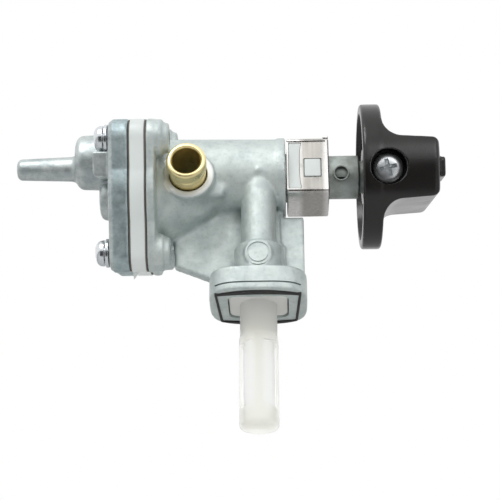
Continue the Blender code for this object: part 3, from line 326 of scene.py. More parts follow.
def extruded(name, outline, start, end, place=HERE, axis="X"):
    return lofted(name, [(start, outline), (end, outline)], place, axis)


def lofted(name, sections, place=HERE, axis="X"):
    """A solid through outlines of the same number of points, each at its place along an axis."""
    shape = bmesh.new()
    rings = [[shape.verts.new(AXES[axis](along, *spot)) for spot in outline]
             for along, outline in sections]
    stitch(shape, rings, False)
    shape.faces.new(rings[0])
    shape.faces.new(rings[-1])
    return keep(name, shape, place)


def quarter(count):
    """The angles of a quarter turn in equal steps."""
    return [pi / 2 * i / count for i in range(count + 1)]


def slab(name, outline, start, end, edge, place=HERE, axis="X"):
    """A plate whose long edges are rounded: outline(inset) gives its points."""
    turns = quarter(4)
    sections = [(start + edge * (1 - sin(t)), outline(edge * (1 - cos(t)))) for t in turns[::-1]]
    sections += [(end - edge * (1 - sin(t)), outline(edge * (1 - cos(t)))) for t in turns]
    return lofted(name, sections, place, axis)


def arc(centre, radius, start, end, count):
    angles = [radians(start + (end - start) * i / count) for i in range(count + 1)]
    return [(centre[0] + radius * cos(t), centre[1] + radius * sin(t)) for t in angles]


def circle(radius, count=64):
    off = 1.3  # so that no corner lies on an axis
    return arc((0, 0), radius, off, 360 + off, count)[:-1]


def rounded_box(half_x, half_y, corner):
    outline = []
    for sx, sy, start in ((1, 1, 0), (-1, 1, 90), (-1, -1, 180), (1, -1, 270)):
        centre = (sx * (half_x - corner), sy * (half_y - corner))
        outline += arc(centre, corner, start, start + 90, 8)
    return outline


def block_outline(inset=0.0):
    """A square with bulged sides and round corners."""
    half = SIDE / 2 - inset
    bulge = ROUND_RADIUS - inset
    spread = degrees(acos(half / bulge))
    corner = max(CORNER - inset, 0.5)
    outline = []
    for number, (sx, sy) in enumerate(((1, 1), (-1, 1), (-1, -1), (1, -1))):
        turn = 90 * number
        outline += arc((0, 0), bulge, turn - spread, turn + spread, 12)
        outline += arc((sx * (half - corner), sy * (half - corner)), corner, turn, turn + 90, 12)
    return outline


def flange_outline(inset=0.0):
    """A superellipse."""
    half_x = FLANGE_WIDTH / 2 - inset
    half_y = FLANGE_DEPTH / 2 - inset
    power = 2 / FLANGE_SQUARENESS
    steps = 144
    outline = []
    for i in range(steps):
        across, along = cos(2 * pi * i / steps), sin(2 * pi * i / steps)
        outline.append((half_x * abs(across) ** power * (1 if across > 0 else -1),
                        half_y * abs(along) ** power * (1 if along > 0 else -1)))
    return outline


def bowed_box(inset, near, far, front, back, front_bow, back_bow):
    """Straight sides between a front and a back that bow outwards."""
    near, far, front, back = (size - inset for size in (near, far, front, back))
    steps = [i / 12 - 1 for i in range(25)]
    line = [(near * s, -front + front_bow * s * s) for s in steps]
    line += [(-far * s, back - back_bow * s * s) for s in steps]
    return soft(line, 0.6, closed=True, count=3)


def groove_outer(inset=0.0):
    """The outer edge of the gasket's groove."""
    return bowed_box(inset, 11.5, 10.6, 11.9, 11.6, 2.5, 2.3)


def groove_inner(inset=0.0):
    """The inner edge of the gasket's groove, which is wider at the flange's front and back."""
    return bowed_box(inset, 10.8, 9.9, 9.7, 9.6, 1.0, 0.9)


def combine(target, tools, operation, solver="EXACT"):
    """Boolean steps, taken at once; the tools are then gone."""
    for tool in tools:
        step = target.modifiers.new(tool.name, "BOOLEAN")
        step.operation = operation
        step.solver = solver
        step.object = tool
    bake(target)
    for tool in tools:
        bpy.data.objects.remove(tool)


def drilled(piece, tools, sharp, solver="EXACT"):
    """The piece after its last cuts."""
    combine(piece, tools, "DIFFERENCE", solver)
    shade(piece, sharp)
    return piece


def bake(piece):
    """The mesh as its modifiers leave it, in place of the mesh before them."""
    bpy.context.view_layer.update()
    graph = bpy.context.evaluated_depsgraph_get()
    data = bpy.data.meshes.new_from_object(piece.evaluated_get(graph))
    piece.modifiers.clear()
    piece.data = data


def smooth(piece, rounds):
    made = piece.modifiers.new("smooth", "SMOOTH")
    made.factor = 0.5
    made.iterations = rounds
    return made


def melt(piece, voxel):
    """Casting fillets: the mesh is rebuilt on a fine grid and its edges are smoothed."""
    grid = piece.modifiers.new("grid", "REMESH")
    grid.mode = "VOXEL"
    grid.voxel_size = voxel * MM
    smooth(piece, MELT_ROUNDS)
    bake(piece)


def ease(piece, low, high, fade, rounds):
    """Extra smoothing inside a box, fading out towards its faces, where two forms run together."""
    group = piece.vertex_groups.new(name="ease")
    for vertex in piece.data.vertices:
        beyond = max(max(a - c, c - b) for a, b, c in zip(low, high, vertex.co / MM))
        share = min(1.0, max(0.0, -beyond / fade))
        if share > 0:
            group.add([vertex.index], share, "REPLACE")
    smooth(piece, rounds).vertex_group = group.name
    bake(piece)
    piece.vertex_groups.clear()


def at_block(across, up):
    return BLOCK @ Matrix.Translation((0, across, up))


def screw_places():
    """The number and the place of each screw of the block."""
    half = SCREW_SPACING / 2
    corners = [(-half, half), (half, half), (half, -half), (-half, -half)]
    return [(number, at_block(*corner)) for number, corner in enumerate(corners, 1)]


def screw_holes(start, end):
    return [extruded(f"hole_{number}", circle(SCREW_RADIUS + FIT, 32), start, end, place)
            for number, place in screw_places()]


# Pieces

def bulge():
    """The swelling that runs from the body's square plate into its barrel."""
    start = BODY_BACK - PAST
    swell = CHAMBER_RADIUS + SWELL_WALL
    neck = BODY_BACK - 0.5
    reach = OUTLET_X + SWELL_REACH - neck
    curve = [(neck + reach * s, SWELL_TIP + (swell - SWELL_TIP) * (1 - s + cos(pi / 2 * s)) / 2)
             for s in [i / 16 for i in range(17)]]
    return turned("bulge", [(start, swell), *curve], BLOCK)


def screw_bosses():
    start = BODY_BACK - PAST
    radius = CORNER - 0.2
    middle = BODY_BACK + BOSS_LENGTH / 2
    line = [(start, radius), (middle, radius), (middle + 0.3, radius - 0.9), (BOSS_END, radius - 1.1)]
    return [turned(f"boss_{number}", line, place, steps=48) for number, place in screw_places()]


def outlet_boss():
    """The flared boss of the outlet."""
    flare = OUTLET_ROOT_RADIUS - OUTLET_RADIUS
    first = OUTLET_FACE + 2
    foot = OUTLET_FACE + OUTLET_FLARE
    edge = 0.5
    horn = [(first + (foot - first) * sin(t), OUTLET_RADIUS + flare * (1 - cos(t))) for t in quarter(16)]
    return turned("outlet", [
        (OUTLET_FACE, OUTLET_RADIUS - edge), (OUTLET_FACE + edge, OUTLET_RADIUS), *horn,
        (0, OUTLET_ROOT_RADIUS)], OUTLET, axis="Y")


def foot_ring():
    """A low ring at the foot of the outlet's boss, of which only the right side is there."""
    face, outer = -9.4, 10.4
    made = turned("ring", [(face, 9.8), (-8.8, outer), (0, outer)], OUTLET, axis="Y")
    left, right, low, high = 3, 12, -5, 12
    side = [(left, low), (right, low), (right, high), (left, high)]
    combine(made, [extruded("ring_side", side, -12, PAST, OUTLET, "Y")], "INTERSECT")
    return made


def neck_casting():
    """The neck and the wider boss at its foot, whose top edge is crisp."""
    wide = NECK_BOSS_RADIUS + 0.1
    return turned("neck", [
        (WEB_FOOT, wide), (NECK_BOSS_TOP - 0.7, wide),
        (NECK_BOSS_TOP, NECK_BOSS_RADIUS - 0.9), (NECK_BOSS_TOP + 0.1, NECK_RADIUS),
        (BARREL_HEIGHT, NECK_RADIUS)], NECK, axis="Z")


def webs():
    """The thin walls on both sides of the neck."""
    inside, end = BARREL_HEIGHT - 4, BARREL_END - 1
    left = [(0, WEB_FOOT), (-FLANGE_WIDTH / 2 + 1.5, WEB_FOOT),
            (-FLANGE_WIDTH / 2, FLANGE_HEIGHT + 1.0),
            (WEB_ARC_X - WEB_ARC + 0.3, WEB_ARC_Z - WEB_TAIL),
            *arc((WEB_ARC_X, WEB_ARC_Z), WEB_ARC, 195, 90, 32), (0, WEB_ARC_Z + WEB_ARC)]
    right = [(0, WEB_FOOT), (0, inside), (end, inside), (end, WEB_TOP), (WEB_RIGHT, WEB_TOP),
             (WEB_RIGHT, WEB_FOOT)]
    return [extruded(name, line, WEB_FRONT, WEB_BACK, axis="Y")
            for name, line in (("left_web", left), ("right_web", right))]


def web_pad():
    """The raised strip on the right web, beside the neck."""
    line = [(0, 8), (0, 27.5), (5.8, 27.5), (6.1, 18.3), (7.3, 16.8), (7.3, 8)]
    return extruded("web_pad", line, WEB_FRONT - 0.7, WEB_FRONT + 0.5, axis="Y")


def casting_nub():
    """A low lump that the mould left on the barrel, above the neck."""
    line = [(-1.2, 0), (-0.9, 0.9), (0.4, 1.3), (0.4, 0)]
    return turned("nub", line, NUB, axis="Y", steps=24)


def body_casting():
    start = BODY_FACE + 1.1
    collar = BARREL_END - COLLAR_LENGTH
    body = turned("body_casting", [
        (start, BARREL_RADIUS + BARREL_DRAFT), (collar, BARREL_RADIUS),
        (collar + 0.3, COLLAR_RADIUS), (BARREL_END, COLLAR_RADIUS)], BARREL, steps=128)
    plate = slab("plate", block_outline, BODY_FACE - NEARER, BODY_BACK, CAST_EDGE, BLOCK)
    flange = slab("flange", flange_outline, 0, FLANGE_HEIGHT, CAST_EDGE, axis="Z")
    face = NECK_Y - NECK_BOSS_RADIUS
    medal = turned("medal", [(face - 0.1, 3.7), (face + 2, 4.0)], MEDAL, axis="Y")
    combine(body, [plate, bulge(), *screw_bosses(), outlet_boss(), foot_ring(), neck_casting(), *webs(),
                   web_pad(), casting_nub(), flange, medal], "UNION")
    melt(body, BODY_GRID)
    ease(body, EASE_LOW, EASE_HIGH, EASE_FADE, EASE_ROUNDS)
    marks = [hoop("mark", face - PAST, face + deep, radius, radius + wide, MEDAL, "Y")
             for radius, wide, deep in MARK_LINES]
    return drilled(body, [*marks, *body_hollows()], 40, "MANIFOLD")


def body_hollows():
    past = 2 * PAST
    bore = turned("bore", [
        (BORE_BOTTOM, BORE_RADIUS), (BARREL_END - 0.4, BORE_RADIUS),
        (BARREL_END + past, BORE_RADIUS + 2.4)], BARREL)
    chamber = turned("chamber", [
        (BODY_FACE - past, CHAMBER_RADIUS), (CHAMBER_FLOOR, CHAMBER_RADIUS), (CHAMBER_FLOOR, SEAT_RADIUS),
        (SEAT_TOP, SEAT_RADIUS), (SEAT_TOP, SEAT_BORE), (OUTLET_X, SEAT_BORE)], BLOCK)
    outlet = turned("outlet_hole", [
        (OUTLET_FACE - past, PIPE_RADIUS + 2.3), (OUTLET_FACE + 0.3, PIPE_RADIUS + FIT),
        (PIPE_ROOT + FIT, PIPE_RADIUS + FIT), (PIPE_ROOT + FIT, PIPE_BORE),
        (BLOCK_Y + SEAT_BORE, PIPE_BORE)], OUTLET, axis="Y")
    inlet = drum("inlet", POCKET_DEPTH, BARREL_HEIGHT - 3, INLET_RADIUS, NECK, "Z", 48)
    corner = 2.5
    well = extruded("well", rounded_box(TUBE_RADIUS, POCKET_HALF_Y, corner), POCKET_DEPTH - PAST,
                    POCKET_DEPTH + 1.6, axis="Z")
    pocket = extruded("pocket", rounded_box(POCKET_HALF_X, POCKET_HALF_Y, corner), -past,
                      POCKET_DEPTH, axis="Z")
    groove = extruded("groove", groove_outer(), -past, GROOVE_DEPTH, axis="Z")
    island = extruded("island", groove_inner(), -2 * past, GROOVE_DEPTH + past, axis="Z")
    combine(groove, [island], "DIFFERENCE")
    half = FLANGE_WIDTH / 2 - PARTING_MARGIN
    front = -FLANGE_DEPTH / 2
    deep = front + 3
    line = [(-half, front - past), (half, front - past), (half, deep), (-half, deep)]
    slot = extruded("slot", line, PARTING_HEIGHT + 0.05, PARTING_HEIGHT + 0.5, axis="Z")
    core = extruded("core", flange_outline(PARTING_DEPTH), 0, FLANGE_HEIGHT, axis="Z")
    combine(slot, [core], "DIFFERENCE")
    holes = screw_holes(BODY_FACE - past, BOSS_END + past)
    return [bore, chamber, outlet, inlet, well, pocket, groove, slot, *holes]


def cover_dome():
    """The vacuum dome and the nipple on it."""
    inside = COVER_LEFT + COVER_INSIDE
    large = 2.2
    dome_edge = arc((DOME_LEFT + large, DOME_RADIUS - large), large, 180, 90, 12)
    foot = DOME_RADIUS + 0.3
    dome = turned("dome", [*dome_edge, (COVER_LEFT, foot), (inside, foot)], at_block(0, DOME_RISE))
    end = 1.3
    tip = arc((NIPPLE_END + end, NIPPLE_TIP - end), end, 180, 90, 8)
    flare = 2.0
    root = [(DOME_LEFT - flare + flare * sin(t), NIPPLE_ROOT + flare * 0.5 * (1 - cos(t)))
            for t in quarter(8)]
    last = DOME_LEFT + 3
    nipple = turned("nipple", [*tip, *root, (last, NIPPLE_ROOT + flare * 0.5)],
                    at_block(0, NIPPLE_RISE), steps=64)
    return [dome, nipple]


def cover_casting():
    step = 1.3
    cover = slab("cover_casting", block_outline, COVER_LEFT + step - 0.5, COVER_RIGHT + NEARER,
                 CAST_EDGE, BLOCK)
    face = slab("face", lambda inset: block_outline(inset + 0.6), COVER_LEFT,
                COVER_LEFT + 2 * step, 0.4, BLOCK)
    inside = COVER_LEFT + COVER_INSIDE
    gentle = 1.6
    left = CUP_LEFT + gentle
    cup_edge = arc((left, CUP_RADIUS - gentle), gentle, 180, 90, 10)
    foot = CUP_RADIUS + 0.4
    cup = turned("cup", [*cup_edge, (COVER_LEFT, foot), (inside, foot)], BLOCK)
    half = RIB_HEIGHT / 2
    rib_end = COVER_LEFT + 1
    rib_line = [(rib_end, -half), (left, -half), *arc((left, -half + gentle), gentle, 270, 180, 8),
                *arc((left, half - gentle), gentle, 180, 90, 8), (rib_end, half)]
    rib = extruded("rib", rib_line, -SIDE / 2 + CORNER / 2, 0, at_block(0, RIB_RISE), axis="Y")
    spots = [drum(f"spot_{number}", DOME_LEFT, COVER_LEFT, WASHER_RADIUS + FIT, place, steps=48)
             for number, place in screw_places()]
    combine(cover, [face, cup, *cover_dome(), rib], "UNION")
    combine(cover, spots, "DIFFERENCE")
    melt(cover, COVER_GRID)
    past = 2 * PAST
    floor = COVER_RIGHT - COVER_POCKET
    pocket = turned("cover_pocket", [
        (CUP_LEFT + CUP_WALL, CUP_RADIUS - CUP_WALL), (floor, CUP_RADIUS - CUP_WALL),
        (floor, CHAMBER_RADIUS), (COVER_RIGHT + past, CHAMBER_RADIUS)], BLOCK)
    passage = extruded("passage", circle(NIPPLE_BORE, 32), NIPPLE_END - past, floor + PAST,
                       at_block(0, NIPPLE_RISE))
    holes = screw_holes(COVER_LEFT - past, COVER_RIGHT + past)
    return drilled(cover, [pocket, passage, *holes], 40, "MANIFOLD")


def spacer():
    """The plate between the diaphragms, a little thicker than the solid, with its nib."""
    more = 0.12
    made = slab("spacer", block_outline, SPACER_LEFT - more, SPACER_RIGHT + more, 0.2, BLOCK)
    edge = -SIDE / 2
    root = edge + 1
    width, tall = 1.6, 1.8
    right = SPACER_LEFT + width
    nib = [(SPACER_LEFT, root), (SPACER_LEFT, edge), (SPACER_LEFT + width / 8, edge - tall),
           (right, edge), (right, root)]
    tool = extruded("nib", nib, -width / 2, width / 2, at_block(edge + CORNER, 0), "Y")
    combine(made, [tool], "UNION")
    drill = (SPACER_LEFT - PAST, SPACER_RIGHT + PAST)
    holes = [extruded("middle", circle(CHAMBER_RADIUS, 96), *drill, BLOCK), *screw_holes(*drill)]
    return drilled(made, holes, 30)


def outlet_tube():
    bead_end = PIPE_TIP + BEAD_LENGTH
    lip = 0.9
    tip = [(PIPE_TIP + lip - lip * sin(t), BEAD_RADIUS - lip + lip * cos(t)) for t in quarter(12)[::-1]]
    neck = PIPE_RADIUS - 0.25
    edge = 0.5
    line = soft([(PIPE_ROOT, PIPE_BORE), (PIPE_TIP + edge, PIPE_BORE), (PIPE_TIP, PIPE_BORE + edge)],
                0.4)
    back = soft([tip[-1], (bead_end - 0.8, BEAD_RADIUS), (bead_end, neck), (bead_end + 0.7, neck),
                 (bead_end + 1.1, PIPE_RADIUS), (PIPE_ROOT, PIPE_RADIUS)], 0.5)
    return turned("outlet_tube", [*line, *tip, *back[1:]], OUTLET, axis="Y", steps=128, loop=True)


def cross(face, depth, reach, half, place, axis):
    """The cutter of a cross recess: its arms reach out, are half wide to each side and taper."""
    outer = [(reach, half), (half, half), (half, reach), (-half, reach), (-half, half), (-reach, half),
             (-reach, -half), (-half, -half), (-half, -reach), (half, -reach), (half, -half),
             (reach, -half)]
    levels = ((face - PAST, 1.0), (face + depth * 0.4, 1.0), (face + depth, 0.45))
    sections = [(along, [(x * share, y * share) for x, y in outer]) for along, share in levels]
    return lofted("recess", sections, place, axis)


def pan_screw(name, top, under, radius, shank, end, place, axis, recess):
    """A pan head with a cross recess, on a plain shank."""
    tall = under - top
    crown = [(top + tall * 0.75 * (1 - cos(t)), radius * sin(t) ** 0.65) for t in quarter(14)[1:]]
    head = soft([(under - 0.4, radius), (under, radius), (under, shank)], 0.2)
    point = 0.5
    line = [(top, 0), *crown, *head[1:], (end - point, shank), (end, shank - point)]
    screw = turned(name, line, place, axis, steps=64)
    return drilled(screw, [cross(top, *recess, place, axis)], 30)


def cover_fasteners():
    face = COVER_LEFT - FIT
    under = face - WASHER - FIT
    recess = (1.8, 2.3, 0.5)
    made = []
    for number, place in screw_places():
        turn = Matrix.Rotation(radians(17 + 31 * number), 4, "X")
        screw = pan_screw(f"block_screw_{number}", under - SCREW_HEAD, under, SCREW_HEAD_RADIUS,
                          SCREW_RADIUS, BOSS_END - 0.4, place @ turn, "X", recess)
        made.append((screw, f"cover_screw_{number}"))
        line = soft([(face - WASHER, SCREW_RADIUS + FIT), (face - WASHER, WASHER_RADIUS),
                     (face, WASHER_RADIUS), (face, SCREW_RADIUS + FIT)], 0.2, closed=True)
        washer = turned(f"block_washer_{number}", line, place, steps=64, loop=True)
        made.append((washer, f"cover_washer_{number}"))
    return made


def catch_outline(inset=0.0):
    right = CLIP_END - CLIP_SHEET - 1.2 - inset
    left = right - CATCH_WIDTH + 2 * inset
    half = CATCH_HEIGHT / 2 - inset
    low, high = -CATCH_DROP - half, -CATCH_DROP + half
    return soft([(left, low), (right, low), (right, high), (left, high)], 0.35, closed=True)


def slot_outline(inset=0.0):
    """The clip's upright slot beside the barrel; its inner side is hollow."""
    left = CLIP_X + 0.45 + inset
    right = CLIP_X + SLOT_START + SLOT_WIDTH - inset
    half = CLIP_HEIGHT / 2 - CLIP_SHEET - 0.6 - inset
    bow = 0.55
    inner = [(right + bow * (z / half) ** 4, z) for z in [half * (i / 8 - 1) for i in range(17)]]
    return soft([(left, half), (left, -half), *inner], 0.4, closed=True, count=3)


def bush():
    """The block in the clip, with its catches and a pad behind each slot of the clip."""
    half_y = CLIP_DEPTH / 2 - CLIP_SHEET - FIT
    half_z = CLIP_HEIGHT / 2 - CLIP_SHEET - FIT
    made = extruded("bush", rounded_box(half_y, half_z, 0.8), CLIP_X, CLIP_END - CLIP_SHEET - FIT,
                    BARREL)
    first = BARREL_END - SPIGOT
    waist = half_y - 0.1
    inside = CLIP_X + 1
    tools = [turned("spigot", [
        (first, BORE_RADIUS - FIT), (BARREL_END, BORE_RADIUS - FIT), (BARREL_END, waist),
        (inside, waist)], BARREL)]
    reach = CLIP_DEPTH / 2 - 0.1
    root = half_y - 1
    for side in (-1, 1):
        low, high = sorted((side * root, side * reach))
        tools.append(slab("catch", lambda inset: catch_outline(FIT + inset), low, high, 0.2, BARREL,
                          "Y"))
        low, high = sorted((side * root, side * (reach - 0.4)))
        tools.append(extruded("slot_pad", slot_outline(0.15), low, high, BARREL, "Y"))
    combine(made, tools, "UNION")
    return drilled(made, [drum("bush_hole", -PAST, CLIP_END + 2 * PAST, SHAFT_RADIUS + FIT, BARREL)], 30)


def clip():
    """The folded sheet, with lips round the sunk leaf of each side, and a spur on top."""
    half_y, half_z = CLIP_DEPTH / 2, CLIP_HEIGHT / 2
    fold = 1.1
    made = slab("sheet_clip",
                lambda inset: rounded_box(half_y - inset, half_z - inset, fold - inset * 0.5),
                CLIP_X, CLIP_END, 0.45, BARREL)
    first = CLIP_X - PAST
    hollow = rounded_box(half_y - CLIP_SHEET, half_z - CLIP_SHEET, 0.5)
    tools = [extruded("clip_hollow", hollow, first, CLIP_END - CLIP_SHEET, BARREL),
             extruded("clip_hole", circle(SHAFT_RADIUS + FIT), CLIP_X, CLIP_END + PAST, BARREL)]
    half = half_z - CLIP_SHEET - 0.2
    last = CLIP_END - 0.9
    leaf = [(first, -half), (last, -half), (last, half), (first, half)]
    for side in (-1, 1):
        near, far = side * (half_y - 2 * CLIP_SHEET), side * (half_y + PAST)
        tools.append(extruded("window", catch_outline(), near, far, BARREL, "Y"))
        tools.append(extruded("clip_slot", slot_outline(), near, far, BARREL, "Y"))
        tools.append(extruded("leaf", leaf, side * (half_y - 0.4), far, BARREL, "Y"))
    combine(made, tools, "DIFFERENCE")
    long, tall, corner, end = 0.75, 0.35, 0.3, half_y - 0.1
    spur = slab("spur", lambda inset: rounded_box(long - inset, tall - inset, corner - inset), -end, end,
                0.12, BARREL @ Matrix.Translation((CLIP_END - 0.8, 0, half_z + 0.2)), "Y")
    combine(made, [spur], "UNION")
    shade(made, 30)
    return made


def rotor():
    """The shaft with its cup in the barrel, a groove for the seal and a pin's mark."""
    cup = BORE_RADIUS - FIT
    cup_end = ROTOR_FACE + ROTOR_CUP
    line = soft([(ROTOR_FACE, 0), (ROTOR_FACE, cup), (cup_end, cup), (cup_end, SHAFT_RADIUS),
                 (SHAFT_END, SHAFT_RADIUS), (SHAFT_END, TANG_RADIUS), (TANG_END, TANG_RADIUS),
                 (TANG_END, 0)], 0.5)
    made = turned("shaft", line, KNOB)
    seal_x, wire = 6.4, 0.75
    groove = hoop("seal_groove", seal_x - wire - FIT, seal_x + wire + FIT, SHAFT_RADIUS - 2 * wire - FIT,
                  SHAFT_RADIUS + PAST, KNOB)
    wall = 1.6
    hollow = drum("cup_hollow", ROTOR_FACE - PAST, cup_end - wall, cup - wall, KNOB, steps=80)
    drill = extruded("drill", circle(KNOB_SCREW_RADIUS + 0.15, 32), -TANG_RADIUS - PAST, 1.4,
                     SCREW_WELL, "Y")
    high, low = -SHAFT_RADIUS - PAST, -SHAFT_RADIUS + 0.35
    mark = turned("pin_mark", [(high, 1.8), (high, 2.1), (low, 2.05), (low, 1.85)],
                  PIN_MARK, axis="Y", steps=48, loop=True)
    return drilled(made, [groove, hollow, drill, mark], 30)


def grip_outline(disc_front, top):
    """The grip seen along its length: it rises from the disc in a hollow curve."""
    upper = [*[(disc_front + GRIP_FILLET * (1 - cos(t)), GRIP_ROOT_HALF + GRIP_FILLET * (1 - sin(t)))
               for t in quarter(20)],
             *arc((top - GRIP_EDGE, GRIP_HALF - GRIP_EDGE), GRIP_EDGE, 90, 0, 12)]
    upper = [(disc_front - 1, GRIP_ROOT_HALF + GRIP_FILLET), *upper]
    return upper + [(x, -z) for x, z in upper[::-1]]


def pointer_outline(inset):
    return rounded_box(POINTER_LENGTH / 2 - inset, POINTER_WIDTH / 2 - inset, 0.8)


def knob():
    front = KNOB_X + DISC
    top = KNOB_X + KNOB_DEPTH
    disc_line = soft([(KNOB_X, 0), (KNOB_X, KNOB_RADIUS), (front, KNOB_RADIUS), (front, 0)], 0.8,
                     count=6)
    made = turned("turn_knob", disc_line, KNOB, steps=160)
    grip = extruded("grip", grip_outline(front, top), -KNOB_RADIUS - PAST, KNOB_RADIUS + PAST, KNOB, "Y")
    crown = [(top - GRIP_CROWN + GRIP_CROWN * sin(t), KNOB_RADIUS - 2 * GRIP_CROWN * (1 - cos(t)))
             for t in quarter(12)]
    crop = turned("crop", [(KNOB_X, KNOB_RADIUS - 0.1), *crown], KNOB, steps=160)
    combine(grip, [crop], "INTERSECT")
    pad = slab("pad", pointer_outline, top - 1, top + POINTER_RISE, 0.3,
               KNOB @ Matrix.Translation((0, -KNOB_RADIUS + POINTER_SETBACK + POINTER_LENGTH / 2, 0)))
    combine(made, [grip, pad], "UNION")
    melt(made, KNOB_GRID)
    first, floor = KNOB_X - PAST, KNOB_X + DISH_DEPTH
    dish = turned("dish", [(first, HUB_RADIUS), (first, DISH_RADIUS), (floor, DISH_RADIUS - 0.4),
                           (floor, HUB_RADIUS)], KNOB, loop=True)
    hub = drum("hub", first, KNOB_X + HUB_RECESS, HUB_RADIUS + 0.5, KNOB)
    socket = drum("socket", first, TANG_END + FIT, TANG_RADIUS + FIT, KNOB, steps=80)
    floor = -KNOB_RADIUS + SCREW_WELL_DEPTH
    mouth = [(-KNOB_RADIUS - PAST, SCREW_WELL_RADIUS + 1.5),
             (-KNOB_RADIUS + 0.2, SCREW_WELL_RADIUS + 0.3),
             (-KNOB_RADIUS + 0.9, SCREW_WELL_RADIUS)]
    well = turned("screw_well", [
        *mouth, (floor, SCREW_WELL_RADIUS), (floor, KNOB_SCREW_RADIUS + FIT),
        (0, KNOB_SCREW_RADIUS + FIT)], SCREW_WELL, axis="Y")
    return drilled(made, [dish, hub, socket, well], 40, "MANIFOLD")


def grip_screw():
    under = -KNOB_RADIUS + SCREW_WELL_DEPTH - FIT
    turn = Matrix.Rotation(radians(-14), 4, "Y")
    return pan_screw("grip_screw", under - KNOB_SCREW_HEIGHT, under, KNOB_SCREW_HEAD + 0.25,
                     KNOB_SCREW_RADIUS, 0.9, SCREW_WELL @ turn, "Y", (1.9, 2.4, 0.55))


def base_outline(inset):
    return rounded_box(POCKET_HALF_X - FIT - inset, POCKET_HALF_Y - FIT - inset, 2.3 - inset)


def strainer():
    """The base plate in the flange's pocket, the tube and the cage with its windows."""
    top = POCKET_DEPTH - FIT
    low = top - BASE_PLATE
    root = low + 0.5
    made = slab("strainer_cage", base_outline, low, top, 0.3, axis="Z")
    edge = 1.2
    bottom = arc((CAGE_BOTTOM + edge, CAGE_RADIUS - edge), edge, 180, 90, 8)
    side = soft([bottom[-1], (-TUBE_LENGTH - 0.6, CAGE_RADIUS), (-TUBE_LENGTH, TUBE_RADIUS),
                 (root, TUBE_RADIUS)], 0.4)
    cage = turned("cage", [*bottom, *side[1:]], axis="Z")
    combine(made, [cage], "UNION")
    floor = CAGE_BOTTOM + CAGE_FLOOR
    wide, inner = CAGE_RADIUS - CAGE_WALL, TUBE_RADIUS - TUBE_WALL
    tools = [turned("cage_hollow", [
        (floor, wide), (WINDOW_TOP + 1, wide), (WINDOW_TOP + 2, inner), (top + PAST, inner)], axis="Z")]
    middle = (WINDOW_TOP + WINDOW_BOTTOM) / 2
    half = CAGE_RADIUS * sin(pi / WINDOWS) - 0.9
    window = rounded_box(half, (WINDOW_TOP - WINDOW_BOTTOM) / 2, 0.6)
    for number in range(WINDOWS):
        turn = pi / WINDOWS + 2 * pi * number / WINDOWS
        place = Matrix.Translation((0, 0, middle)) @ Matrix.Rotation(turn, 4, "Z")
        tools.append(extruded(f"window_{number}", window, CAGE_RADIUS * 0.5, CAGE_RADIUS * 1.3, place, "Y"))
    return drilled(made, tools, 30)


def gauze_sleeve():
    outer = CAGE_RADIUS - CAGE_WALL - FIT
    inner = outer - GAUZE
    low, high = CAGE_BOTTOM + CAGE_FLOOR + FIT, WINDOW_TOP + 0.7
    return turned("gauze_sleeve", [(low, outer), (high, outer), (high, inner), (low, inner)], axis="Z",
                  loop=True)


def gasket():
    gap = 0.1
    made = slab("flange_gasket", lambda inset: groove_outer(gap + inset), -GASKET_PROUD,
                GROOVE_DEPTH - FIT, 0.2, axis="Z")
    inner = extruded("gasket_inner", groove_inner(-gap), -PAST, GROOVE_DEPTH + PAST, axis="Z")
    return drilled(made, [inner], 40)


# Materials

PLAIN = (1, 1, 1)  # leaves a colour as it is


